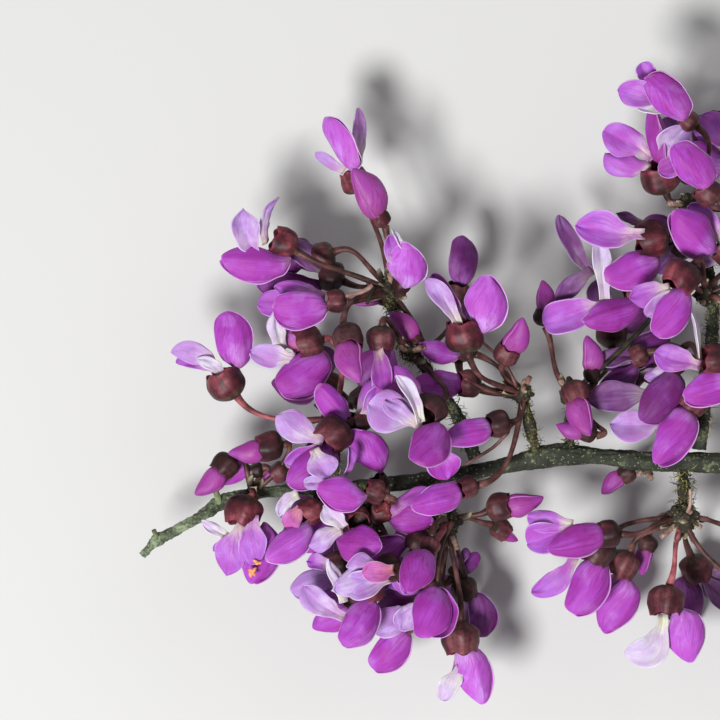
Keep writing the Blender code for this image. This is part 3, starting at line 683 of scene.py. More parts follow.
def petal_finish(name, tones, vein, shaded_side=0.0, roughness=0.55):
    """A petal from its claw to its coloured end, blushed in patches, veined along it, with a painted highlight at its
    pale rim.

    The tones are claw, pale, body, blushed, deep and rim, the last painted as a rim highlight; shaded_side is how much
    more the side away from the seam is blushed, a painted shade on that side.
    """
    claw, pale, body, blushed, deep, rim = tones
    finish = Finish(name, roughness, Subsurface_Weight=0.15, Subsurface_Scale=0.0005, Specular_IOR_Level=0.3)
    along, across = finish.uv()
    flat = finish.tree.nodes.new("ShaderNodeCombineXYZ")
    finish.link(along, flat, 0)
    finish.link(across, flat, 1)
    spot = finish.add(flat.outputs[0], finish.stretched(finish.place(), (70.0, 70.0, 70.0)))
    cloud = finish.speckle(finish.place(), 300.0, 5.0)
    grain = finish.speckle(finish.place(), 1500.0, 3.0)
    wander = finish.maths("MULTIPLY", finish.maths("SUBTRACT", cloud, 0.5), 0.5)
    reach = finish.maths("ADD", along, wander)
    colour = finish.ramp(reach, (0.06, claw), (0.22, pale), (0.46, body), (0.9, body), (1.0, rim))
    blush = finish.ramp(cloud, (0.46, 0.0), (0.62, 0.7))
    # The side away from the seam is blushed deeper as painted shade.
    if shaded_side > 0:
        upper = finish.ramp(finish.maths("ADD", across, wander), (0.16, shaded_side), (0.4, 0.0))
        blush = finish.maths("MAXIMUM", blush, upper)
    mottle = finish.speckle(finish.stretched(spot, (5.0, 8.0, 1.0)), 1.0, 4.0, 1.2)
    blush = finish.maths("MAXIMUM", blush, finish.ramp(mottle, (0.48, 0.0), (0.66, 0.75)))
    colour = finish.mix(blush, colour, blushed)
    colour = finish.mix(finish.ramp(cloud, (0.34, 0.55), (0.46, 0.0)), colour, pale)
    streak = finish.speckle(finish.stretched(spot, (2.0, 13.0, 1.0)), 1.0, 5.0, 2.6)
    middle = finish.ramp(along, (0.05, 0.3), (0.3, 1.0), (0.75, 0.9), (1.0, 0.2))
    dusk = finish.maths("MULTIPLY", finish.ramp(streak, (0.5, 0.0), (0.64, vein)), middle)
    dusk = finish.maths("MULTIPLY", dusk, finish.ramp(grain, (0.35, 0.5), (0.6, 1.0)))
    edge = finish.maths("ABSOLUTE", finish.maths("SUBTRACT", across, 0.5))
    rib = finish.maths("MULTIPLY", finish.ramp(edge, (0.0, vein), (0.022, 0.0)), finish.ramp(along, (0.5, 1.0), (0.8, 0.0)))
    rib = finish.maths("MULTIPLY", rib, finish.ramp(mottle, (0.42, 0.0), (0.52, 1.0)))
    colour = finish.mix(finish.maths("MAXIMUM", dusk, rib), colour, deep)
    # A thin pale rim at the edges, painted as a rim highlight.
    colour = finish.mix(finish.ramp(edge, (0.475, 0.0), (0.495, 0.85)), colour, rim)
    finish.relief(streak, 0.6, 0.0001)
    return finish.colour(colour)


def calyx_finish(name, foot, body, lit, dark, mouth):
    """A dark-toned cup: greenish at its foot, with painted highlights in rosy patches, painted shade in dark patches,
    darker along its ribs, and wine-red at its mouth.
    """
    finish = Finish(name, 0.45, Subsurface_Weight=0.05, Subsurface_Scale=0.0004, Specular_IOR_Level=0.2)
    along, around = finish.uv()
    cloud = finish.speckle(finish.place(), 260.0, 4.0)
    grain = finish.speckle(finish.place(), 1900.0, 3.0)
    reach = finish.maths("ADD", along, finish.maths("MULTIPLY", finish.maths("SUBTRACT", cloud, 0.5), 0.4))
    colour = finish.ramp(reach, (0.08, foot), (0.36, body), (0.85, body), (1.0, mouth))
    # Rosy patches are painted highlights, and the dark patches below are painted shade.
    colour = finish.mix(finish.ramp(cloud, (0.5, 0.0), (0.62, 0.8)), colour, lit)
    colour = finish.mix(finish.ramp(cloud, (0.38, 0.75), (0.48, 0.0)), colour, dark)
    rib = finish.maths("SINE", finish.maths("MULTIPLY", around, 2 * math.pi * CALYX_RIBS))
    colour = finish.mix(finish.ramp(rib, (0.0, 0.35), (0.6, 0.0)), colour, dark)
    colour = finish.mix(finish.ramp(grain, (0.38, 0.4), (0.5, 0.0)), colour, dark)
    finish.relief(cloud, 0.7, 0.00016)
    return finish.colour(colour)


def stalk_finish(name, dark, body, lit):
    """The skin of a stalk, with painted shade in darker, duller patches and painted highlights in lighter ones."""
    finish = Finish(name, 0.45, Subsurface_Weight=0.05, Subsurface_Scale=0.0003, Specular_IOR_Level=0.25)
    cloud = finish.speckle(finish.place(), 500.0, 3.0)
    colour = finish.ramp(cloud, (0.34, dark), (0.5, body), (0.68, lit))
    finish.relief(finish.speckle(finish.place(), 2400.0, 2.0), 0.4, 0.00004)
    return finish.colour(colour)


def bark_finish(name, dark, body, pale, speck, young_and_lit=None):
    """Grey-green bark with small pale lenticels and patches of lichen, greener and lighter towards the far tip, partly
    fresher wood and partly painted light.
    """
    finish = Finish(name, 0.8)
    spot = finish.place()
    cloud = finish.speckle(spot, 420.0, 5.0)
    colour = finish.ramp(cloud, (0.32, dark), (0.52, body), (0.72, pale))
    # The far tip is painted greener and lighter, partly for fresher wood and partly as painted light.
    if young_and_lit:
        split = finish.tree.nodes.new("ShaderNodeSeparateXYZ")
        finish.link(spot, split, 0)
        along = finish.maths("MULTIPLY", finish.maths("ADD", split.outputs["X"], YOUNG_AND_LIT_FROM), YOUNG_AND_LIT_FADE)
        colour = finish.mix(finish.ramp(along, (0.0, 0.9), (1.0, 0.0)), colour, finish.ramp(cloud, *young_and_lit))
    grain = finish.speckle(spot, 2200.0, 4.0)
    colour = finish.mix(finish.ramp(grain, (0.4, 0.6), (0.55, 0.0)), colour, dark)
    fleck = finish.cells(spot, 1800.0)
    colour = finish.mix(finish.ramp(fleck, (0.14, 0.75), (0.24, 0.0)), colour, speck)
    lichen = finish.maths("MULTIPLY", finish.ramp(cloud, (0.6, 0.0), (0.66, 0.7)), finish.ramp(grain, (0.4, 0.2), (0.6, 1.0)))
    colour = finish.mix(lichen, colour, speck)
    finish.relief(grain, 0.8, 0.0002)
    return finish.colour(colour)


def moss_finish():
    """Wiry dark olive threads, yellow-green in patches as painted highlights and nearly black in patches as painted
    shade.
    """
    finish = Finish("moss_thread", 0.8)
    cloud = finish.speckle(finish.place(), 1100.0, 3.0)
    return finish.colour(finish.ramp(cloud, (0.4, (0.012, 0.011, 0.005)), (0.5, (0.07, 0.065, 0.02)), (0.62, (0.40, 0.38, 0.12))))


def scale_finish():
    """Dry bud scales: brown with a paler, torn-looking edge."""
    finish = Finish("scale_skin", 0.7)
    along, _ = finish.uv()
    cloud = finish.speckle(finish.place(), 900.0, 4.0)
    reach = finish.maths("ADD", along, finish.maths("MULTIPLY", finish.maths("SUBTRACT", cloud, 0.5), 0.8))
    colour = finish.ramp(reach, (0.1, (0.04, 0.03, 0.016)), (0.55, (0.10, 0.07, 0.045)), (1.0, (0.38, 0.34, 0.22)))
    finish.relief(cloud, 0.6, 0.0001)
    return finish.colour(colour)


def anther_finish():
    finish = Finish("anther_skin", 0.6)
    cloud = finish.speckle(finish.place(), 2500.0, 2.0)
    return finish.colour(finish.ramp(cloud, (0.35, (0.62, 0.18, 0.06)), (0.65, (0.85, 0.42, 0.18))))


CREAM = (0.66, 0.60, 0.46)
KEEL_TONES = {
    "keel": ((0.48, 0.24, 0.40), (0.46, 0.16, 0.58), (0.38, 0.056, 0.49), (0.34, 0.028, 0.31), (0.20, 0.010, 0.20), (0.64, 0.38, 0.72)),
    "keel_pale": ((0.54, 0.36, 0.52), (0.54, 0.28, 0.68), (0.47, 0.12, 0.62), (0.41, 0.055, 0.44), (0.27, 0.022, 0.29), (0.72, 0.52, 0.80)),
    "keel_deep": ((0.44, 0.18, 0.34), (0.39, 0.10, 0.48), (0.33, 0.040, 0.40), (0.28, 0.018, 0.23), (0.15, 0.007, 0.14), (0.56, 0.30, 0.62)),
    # A keel darkened all over as painted shade.
    "keel_in_painted_shade": ((0.28, 0.14, 0.24), (0.25, 0.08, 0.31), (0.18, 0.025, 0.22), (0.14, 0.01, 0.11), (0.08, 0.005, 0.08), (0.36, 0.20, 0.44)),
}
WING_TONES = {
    "wing": (CREAM, (0.46, 0.22, 0.54), (0.33, 0.09, 0.50), (0.35, 0.06, 0.38), (0.21, 0.025, 0.25), (0.54, 0.32, 0.68)),
    "bright": (CREAM, (0.46, 0.19, 0.58), (0.39, 0.12, 0.58), (0.39, 0.06, 0.42), (0.23, 0.025, 0.27), (0.62, 0.40, 0.76)),
    "pale": (CREAM, (0.58, 0.47, 0.66), (0.42, 0.26, 0.60), (0.40, 0.15, 0.46), (0.28, 0.08, 0.36), (0.66, 0.54, 0.78)),
    "white": ((0.70, 0.70, 0.52), (0.68, 0.66, 0.66), (0.58, 0.52, 0.68), (0.50, 0.34, 0.58), (0.42, 0.24, 0.48), (0.74, 0.70, 0.78)),
    "banner": (CREAM, (0.42, 0.16, 0.44), (0.32, 0.065, 0.42), (0.31, 0.04, 0.29), (0.17, 0.018, 0.18), (0.46, 0.24, 0.54)),
    # Petals darkened all over as painted shade.
    "petal_in_painted_shade": ((0.30, 0.27, 0.21), (0.24, 0.12, 0.28), (0.16, 0.05, 0.21), (0.14, 0.03, 0.14), (0.07, 0.01, 0.08), (0.32, 0.20, 0.40)),
    "blush": ((0.62, 0.30, 0.22), (0.56, 0.20, 0.38), (0.46, 0.14, 0.46), (0.46, 0.07, 0.30), (0.32, 0.03, 0.16), (0.62, 0.40, 0.66)),
}
WING_VEINS = {"wing": 0.4, "bright": 0.4, "pale": 0.35, "white": 0.25, "banner": 0.5, "petal_in_painted_shade": 0.5, "blush": 0.5}
# Keels take a painted shade on the side away from the seam, set by the last figure.
LOOKS = {name: petal_finish(f"{name}_petal", tones, 0.6, 0.65) for name, tones in KEEL_TONES.items()}
LOOKS.update((name, petal_finish(f"{name}_petal", tones, WING_VEINS[name])) for name, tones in WING_TONES.items())
BUD_FINISH = petal_finish(
    "bud_petal",
    ((0.28, 0.06, 0.18), (0.35, 0.07, 0.34), (0.32, 0.045, 0.34), (0.30, 0.03, 0.22), (0.16, 0.01, 0.12), (0.50, 0.20, 0.52)),
    0.5,
    # a painted shade on one side of the bud
    0.5,
    0.45,
)
# The brown cup is given only to calyxes in shade, its darkness partly painted shade.
CALYX_FINISHES = [
    calyx_finish(f"calyx_{name}", *tones)
    for name, *tones in (
        ("rose", (0.11, 0.09, 0.055), (0.105, 0.018, 0.028), (0.27, 0.062, 0.08), (0.022, 0.007, 0.009), (0.26, 0.030, 0.07)),
        ("wine", (0.08, 0.062, 0.038), (0.085, 0.020, 0.027), (0.20, 0.063, 0.072), (0.020, 0.008, 0.009), (0.19, 0.025, 0.055)),
        ("brown", (0.055, 0.044, 0.026), (0.045, 0.016, 0.018), (0.11, 0.045, 0.046), (0.014, 0.007, 0.007), (0.11, 0.018, 0.035)),
    )
]
STICK_FINISHES = {
    "bright": stalk_finish("stalk_rosy", (0.10, 0.03, 0.032), (0.30, 0.07, 0.085), (0.48, 0.17, 0.17)),
    "dull": stalk_finish("stalk_dull", (0.03, 0.013, 0.011), (0.085, 0.030, 0.028), (0.17, 0.075, 0.065)),
    "red": stalk_finish("stalk_red", (0.04, 0.008, 0.009), (0.13, 0.018, 0.022), (0.28, 0.06, 0.06)),
    "green": stalk_finish("stub_green", (0.07, 0.08, 0.035), (0.20, 0.26, 0.12), (0.42, 0.50, 0.28)),
    # near black, a stalk painted in shade
    "dark": stalk_finish("stalk_in_painted_shade", (0.008, 0.007, 0.005), (0.018, 0.015, 0.009), (0.05, 0.042, 0.025)),
    "cut": stalk_finish("stalk_cut", (0.26, 0.13, 0.11), (0.42, 0.28, 0.24), (0.56, 0.44, 0.38)),
}
STUB_FINISH = bark_finish("cut_stalk", (0.16, 0.07, 0.05), (0.34, 0.22, 0.17), (0.46, 0.34, 0.27), (0.60, 0.52, 0.42))
ANTHER_FINISH = anther_finish()
YOUNG_AND_LIT_FROM = 0.05  # the wood starts to darken this far left of the middle, and its greenness, partly painted light, fades at this rate
YOUNG_AND_LIT_FADE = 38.0
# tones for the greener tip, partly fresher wood and partly painted light
YOUNG_AND_LIT_BARK = ((0.3, (0.06, 0.075, 0.04)), (0.5, (0.16, 0.21, 0.12)), (0.7, (0.36, 0.43, 0.27)))
BARK_FINISH = bark_finish(
    "bark", (0.009, 0.010, 0.006), (0.029, 0.034, 0.020), (0.072, 0.085, 0.05), (0.26, 0.30, 0.16), YOUNG_AND_LIT_BARK
)
KNOB_FINISH = bark_finish("spur_bark", (0.010, 0.008, 0.005), (0.034, 0.027, 0.015), (0.09, 0.08, 0.04), (0.24, 0.25, 0.10))
SCALE_FINISH = scale_finish()
MOSS_FINISH = moss_finish()


# Shared ways of modelling


def start_grid(along, across):
    """A flat grid whose points lie from -1 to 1 both ways."""
    bpy.ops.mesh.primitive_grid_add(x_subdivisions=along, y_subdivisions=across, size=2.0)
    return bpy.context.active_object


def lay_points(piece, rule):
    """Put each point of a grid at rule(along, across), both from 0 to 1."""
    for vert in piece.data.vertices:
        vert.co = rule((vert.co.x + 1) / 2, (vert.co.y + 1) / 2)


def edit(piece, *steps):
    """Run edit-mode operators on all of a piece."""
    bpy.ops.object.select_all(action="DESELECT")
    piece.select_set(True)
    bpy.context.view_layer.objects.active = piece
    bpy.ops.object.mode_set(mode="EDIT")
    bpy.ops.mesh.select_all(action="SELECT")
    for step, settings in steps:
        step(**settings)
    bpy.ops.object.mode_set(mode="OBJECT")


def thicken(piece, thickness):
    wall = piece.modifiers.new("wall", "SOLIDIFY")
    wall.thickness = thickness
    wall.offset = 0.0
    bpy.context.view_layer.objects.active = piece
    bpy.ops.object.modifier_apply(modifier=wall.name)


def finished(piece, material):
    """Give a form its finish and smooth faces."""
    piece.data.materials.clear()
    piece.data.materials.append(material)
    bpy.ops.object.select_all(action="DESELECT")
    piece.select_set(True)
    bpy.context.view_layer.objects.active = piece
    bpy.ops.object.shade_smooth()
    return piece


def copy_of(form, matrix, seed=None, material=None):
    """The form once more with its own mesh, strayed a little by seed, then put in place."""
    piece = form.copy()
    piece.data = form.data.copy()
    bpy.context.scene.collection.objects.link(piece)
    if seed is not None:
        drift = Vector((seed * 3.7, seed * 1.9, seed * 2.3))
        for vert in piece.data.vertices:
            stray = noise.noise_vector(vert.co * 0.32 + drift)
            vert.co += stray * RIPPLE * min(1.0, vert.co.length / 3)
    if material is not None:
        piece.data.materials[0] = material
    piece.data.transform(matrix)
    return piece


def tubes(runs, sides):
    """Closed round tubes, one along each run of points; the fourth value of each point is the diameter."""
    curve = bpy.data.curves.new("tubes", "CURVE")
    curve.dimensions = "3D"
    curve.bevel_depth = 1.0
    curve.bevel_resolution = sides // 2 - 2
    curve.use_fill_caps = True
    for run in runs:
        spline = curve.splines.new("POLY")
        spline.points.add(len(run) - 1)
        for place, (x, y, z, diameter) in zip(spline.points, run):
            place.co = (x, y, z, 1.0)
            place.radius = diameter / 2
    drawn = bpy.data.objects.new("tubes", curve)
    bpy.context.scene.collection.objects.link(drawn)
    bpy.context.view_layer.update()
    mesh = bpy.data.meshes.new_from_object(drawn.evaluated_get(bpy.context.evaluated_depsgraph_get()))
    bpy.data.objects.remove(drawn)
    piece = bpy.data.objects.new("tubes", mesh)
    bpy.context.scene.collection.objects.link(piece)
    edit(piece, (bpy.ops.mesh.remove_doubles, {"threshold": 0.001}))
    return piece


def put_up(name, pieces, node):
    """Join the pieces, move them from the branch's millimetres into the frame and stand them for the node."""
    bpy.ops.object.select_all(action="DESELECT")
    for piece in pieces:
        piece.select_set(True)
    bpy.context.view_layer.objects.active = pieces[0]
    bpy.ops.object.join()
    whole = bpy.context.active_object
    whole.name = name
    whole.data.name = name
    whole.data.transform(HOME)
    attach(whole, "root")
    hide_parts(node)
    return whole


def axes(x_axis, z_axis):
    """The matrix that turns X and Z to these directions."""
    x_axis = x_axis.normalized()
    y_axis = z_axis.cross(x_axis).normalized()
    z_axis = x_axis.cross(y_axis)
    return Matrix((x_axis, y_axis, z_axis)).transposed().to_4x4()


def smooth_route(points):
    """Points on a Catmull-Rom curve through the given ones, each with its diameter as the fourth value."""
    route = [Vector(p) for p in points]
    route = [2 * route[0] - route[1], *route, 2 * route[-1] - route[-2]]
    found = []
    for a, b, c, d in zip(route, route[1:], route[2:], route[3:]):
        for step in range(ROUTE_STEPS):
            t = step / ROUTE_STEPS
            squared = 2 * a - 5 * b + 4 * c - d
            cubed = 3 * b - a - 3 * c + d
            found.append(b + 0.5 * ((c - a) * t + squared * t**2 + cubed * t**3))
    found.append(route[-2])
    return found


# Forms of one bloom, each modelled once along X with its claw at the origin


def ease(share):
    """From 0 to 1 with a level start and end."""
    share = min(1.0, max(0.0, share))
    return share * share * (3 - 2 * share)


def body_fill(t, foot, full, round_from, point=0.5):
    """Half the breadth of a petal at t along it, as a share: foot at the claw, then a broad body and its tip."""
    body = foot + (0.9 - foot) * ease(t / full) + 0.1 * ease(t / round_from)
    return max(0.03, body * max(0.0, 1 - max(0.0, (t - round_from) / (1 - round_from)) ** 2.3) ** point)


def bud_fill(t):
    """Half the height of a bud at t along it, as a share: broad from the calyx on, with a rounded end."""
    base = 0.12 + 0.88 * (1 - (1 - min(1.0, 2 * t)) ** 2.2) ** 0.75
    return max(0.03, base * max(0.0, 1 - max(0.0, (t - 0.25) / 0.75) ** 1.8) ** 0.7)


def along_stations(values, along):
    """The value at along, from 0 to 1, on a smooth line through the values at KEEL_STATIONS."""
    place = min(along, 0.9999) * (len(KEEL_STATIONS) - 1)
    index = int(place)
    share = place - index
    a, b, c, d = (values[min(max(index + step, 0), len(values) - 1)] for step in (-1, 0, 1, 2))
    squared = 2 * a - 5 * b + 4 * c - d
    cubed = 3 * b - a - 3 * c + d
    return b + 0.5 * ((c - a) * share + squared * share**2 + cubed * share**3)


def keel_half(side, stretch, crease, upper, lower):
    """One petal of the keel: a shallow dish on its side, from the seam below to its rim above."""
    length = KEEL_LENGTH * stretch

    def rule(along, across):
        t = 0.5 - 0.5 * math.cos(math.pi * along)
        s = 2 * across - 1
        top = max(0.0, along_stations(upper, along)) * length
        foot = max(0.0, along_stations(lower, along)) * length
        height = across * (top + foot) - foot
        belly = max(0.0, math.sin(math.pi * t**0.8)) ** 0.6 + 0.25 * (1 - t)
        lens = 1 - abs(s) ** 1.9
        part = KEEL_GAPE * max(0.0, s) ** 3 * math.sin(math.pi * t)
        fold = 0.2 * math.exp(-(((s - crease) / 0.15) ** 2)) * math.sin(math.pi * t) ** 0.5
        vein = 0.05 * math.cos(9 * s + 3 * t) * lens
        depth = (lens * belly * KEEL_WIDTH / 2 + vein * belly + fold) * min(1.0, (top + foot) / 2.5)
        return Vector((length * t, side * (depth + part), height))

    piece = start_grid(24, 18)
    lay_points(piece, rule)
    if side > 0:
        edit(piece, (bpy.ops.mesh.flip_normals, {}))
    thicken(piece, PETAL_THICKNESS)
    return finished(piece, LOOKS["keel"])


def bud_half(side):
    """One side of a closed bud, puffed and with its edges tucked under."""

    def rule(along, across):
        t = math.sin(math.pi / 2 * along)
        fill = bud_fill(t)
        turn = math.pi * (across - 0.5)
        middle = -BUD_SAG * BUD_HEIGHT * math.sin(math.pi * t)
        bulge = math.cos(turn) * fill * BUD_WIDTH / 2 + PETAL_THICKNESS / 2
        return Vector((BUD_LENGTH * t, side * bulge, middle + math.sin(turn) * fill * BUD_HEIGHT / 2))

    piece = start_grid(18, 14)
    lay_points(piece, rule)
    if side > 0:
        edit(piece, (bpy.ops.mesh.flip_normals, {}))
    thicken(piece, PETAL_THICKNESS)
    return finished(piece, BUD_FINISH)


def bud_wrap(side):
    """The outer petal of a bud, folded over the rest from past the top of one side."""

    def rule(along, across):
        t = math.sin(math.pi / 2 * along)
        fill = bud_fill(t) * 1.07
        turn = math.pi * (WRAP_FROM - (WRAP_FROM + 0.3) * across)
        drop = -BUD_SAG * BUD_HEIGHT * math.sin(math.pi * t)
        place = Vector((BUD_LENGTH * (t * 0.99), 0, drop + math.sin(turn) * fill * (BUD_HEIGHT / 2 + 0.05)))
        place.y = side * math.cos(turn) * fill * (BUD_WIDTH / 2 + 0.1)
        return place

    piece = start_grid(18, 12)
    lay_points(piece, rule)
    if side < 0:
        edit(piece, (bpy.ops.mesh.flip_normals, {}))
    thicken(piece, PETAL_THICKNESS)
    return finished(piece, BUD_FINISH)


def free_petal(foot, tip, width, turn, bow, look, point, chance):
    """A wing or the upright petal: a narrow claw, then a creased oval blade along a bowed and arched line."""
    span = tip - foot
    level = Vector((-span.y, span.x, 0)).normalized()
    up = span.cross(level).normalized()
    lean = math.radians(turn)
    face = up * math.cos(lean) - level * math.sin(lean)
    side = level * math.cos(lean) + up * math.sin(lean)
    bend = (foot + tip) / 2 + 2 * (side * bow + face * chance.uniform(*ARCH))
    twist = math.radians(chance.uniform(-TWIST, TWIST))
    crease = chance.uniform(-0.45, 0.45)
    cup = chance.uniform(-0.2, 0.45)
    drift = chance.uniform(0, 50)
    lobes = (chance.uniform(0, 6), chance.uniform(0, 6))
    blunt = chance.uniform(0.45, 0.8)
    point = blunt if point is None else point
    ear = chance.choice((-1, 1))

    def rule(along, across):
        t = math.sin(math.pi / 2 * along)
        s = 2 * across - 1
        spot = foot * (1 - t) ** 2 + bend * 2 * t * (1 - t) + tip * t**2
        ahead = ((bend - foot) * (1 - t) + (tip - bend) * t).normalized()
        out = face.cross(ahead).normalized()
        rise = ahead.cross(out)
        turned = twist * t * t
        out, rise = out * math.cos(turned) + rise * math.sin(turned), rise * math.cos(turned) - out * math.sin(turned)
        share = max(0.0, (t - CLAW) / (1 - CLAW))
        half = body_fill(share, min(0.7, CLAW_WIDTH / width), 0.5, 0.55, point) * width / 2
        half *= 1 + 0.12 * math.sin(5 * t + lobes[s > 0]) * ease(2 * share)
        if s * ear > 0:
            half += 0.1 * width * math.exp(-(((share - 0.2) / 0.12) ** 2))
        waver = noise.noise(Vector((3.0 * t, 1.6 * s, drift)))
        lift = (crease * abs(s) + cup * s * s) * half + 0.45 * waver * ease(1.5 * share)
        lift += 0.07 * width * s * s * math.sin(8 * t + drift) * ease(1.5 * share)
        lift -= 0.25 * math.exp(-((s / 0.25) ** 2)) * ease(3 * t) * (1 - t)
        return spot + out * s * half + rise * lift

    piece = start_grid(22, 14)
    lay_points(piece, rule)
    thicken(piece, PETAL_THICKNESS)
    return finished(piece, LOOKS[look])


def calyx_cup():
    """A lopsided barrel round X with five swellings and short blunt lobes, open at its mouth."""

    def rule(along, across):
        around = 2 * math.pi * across
        swell = 0.5 + 0.5 * math.cos(CALYX_LOBES * around)
        rounded = min(1.0, max(0.0, (along - 0.05) / CALYX_SHOULDER))
        ring = CALYX_NECK + (1 - CALYX_NECK) * (1 - (1 - rounded) ** 2.4) ** 0.7 - 0.13 * ease(3 * along - 2)
        humped = 1 + 0.1 * math.sin(around) * math.sin(math.pi * along)
        humped += 0.06 * swell * math.sin(math.pi * along) ** 0.7 + 0.02 * math.sin(3 * around + 4 * along)
        reach = -0.62 + along * 1.04 + (0.11 * swell + 0.05 * math.sin(around)) * along**4
        radius = ring * humped * CALYX_WIDTH / 2
        return Vector((reach * CALYX_LENGTH, math.cos(around) * radius, math.sin(around) * radius))

    piece = start_grid(24, 50)
    lay_points(piece, rule)
    edit(
        piece,
        (bpy.ops.mesh.remove_doubles, {"threshold": 0.005}),
        (bpy.ops.mesh.normals_make_consistent, {"inside": False}),
    )
    thicken(piece, CALYX_WALL)
    return finished(piece, CALYX_FINISHES[0])


def anther_form():
    bpy.ops.mesh.primitive_uv_sphere_add(segments=10, ring_count=6, radius=0.32)
    piece = bpy.context.active_object
    edit(piece, (bpy.ops.transform.resize, {"value": (1.7, 0.8, 0.7)}))
    return finished(piece, ANTHER_FINISH)


def scale_form():
    """A pointed bud scale that stands off its knob."""

    def rule(along, across):
        s = 2 * across - 1
        half = 0.7 * (1 - along**2.5) * (0.8 + 0.5 * along) + 0.02
        return Vector((1.5 * along, s * half, 0.35 * along**2 - 0.4 * s * s))

    piece = start_grid(6, 5)
    lay_points(piece, rule)
    thicken(piece, 0.12)
    return finished(piece, SCALE_FINISH)


KEEL_FORMS = {name: [keel_half(side, *shape) for side in (-1, 1)] for name, shape in KEEL_OUTLINES.items()}
BUD_BODY = [bud_half(side) for side in (-1, 1)]
BUD_WRAP = bud_wrap(1)
CALYX = calyx_cup()
ANTHER = anther_form()
SCALE = scale_form()
FORMS = [half for pair in KEEL_FORMS.values() for half in pair]
FORMS += [*BUD_BODY, BUD_WRAP, CALYX, ANTHER, SCALE]


# Blooms


def bloom_frame(bloom):
    """Where a bloom stands: X down the keel, Z the side that its wings are on."""
    turn = Matrix.Rotation(math.radians(bloom.heading), 4, "Z") @ Matrix.Rotation(math.radians(-bloom.pitch), 4, "Y")
    roll = Matrix.Rotation(math.radians(-bloom.roll), 4, "X")
    return Matrix.Translation((bloom.x, bloom.y, bloom.z)) @ turn @ roll @ Matrix.Scale(bloom.size, 4)


def stalk(spur, middle, axis, scale, heading, look, chance):
    """The thin stalk from the spur's middle to the foot of a calyx, entering it along its axis, and its scale."""
    root = Vector((spur.x, spur.y, spur.z))
    foot = middle - axis * CALYX_LENGTH * 0.58 * scale
    bend = foot - axis * (foot - root).length * STALK_BEND
    sway = Vector((chance.uniform(-1, 1), chance.uniform(-1, 1), chance.uniform(-1, 1))) * 0.35
    points = []
    for step in range(17):
        t = step / 16
        spot = root * (1 - t) ** 2 + bend * 2 * t * (1 - t) + foot * t**2 + sway * math.sin(2 * math.pi * t)
        points.append((*spot, STALK_DIAMETER * (1 + 0.1 * math.sin(9 * t) + 0.6 * t**8)))
    run = finished(tubes([points], 12), STICK_FINISHES[look])
    ahead = (bend - root).normalized()
    out = ahead.orthogonal().normalized()
    spot = root + ahead * (spur.knob + 0.5) + out * 0.3
    return [run, copy_of(SCALE, Matrix.Translation(spot) @ axes(ahead, out), heading * 0.01)]


def opened(bloom, place, looks):
    """Rows for the petals of a bloom that the picture hides, opened by its spread and splay."""
    spread = math.radians(bloom.spread)
    reach = Vector((math.cos(spread), 0, math.sin(spread)))
    out = Vector((0, 1, 0))
    turn = place.to_3x3()
    rows = []
    for side in (-1, 1):
        splay = math.radians(bloom.splay) * side
        foot = turn @ (out * WING_APART * side + reach * 0.8)
        tip = turn @ ((reach * math.cos(splay) + out * math.sin(splay)) * WING_LENGTH)
        rows.append(Petal(*foot, *tip, WING_WIDTH * bloom.size, 30 * side, 0.0, looks[0]))
    if bloom.spread >= BANNER_FROM:
        lean = spread + math.radians(BANNER_LEAN)
        ahead = Vector((math.cos(lean), 0, math.sin(lean)))
        rows.append(Petal(*(turn @ ahead), *(turn @ ahead * BANNER_LENGTH), BANNER_WIDTH * bloom.size, 0, 0.0, looks[1]))
    return rows


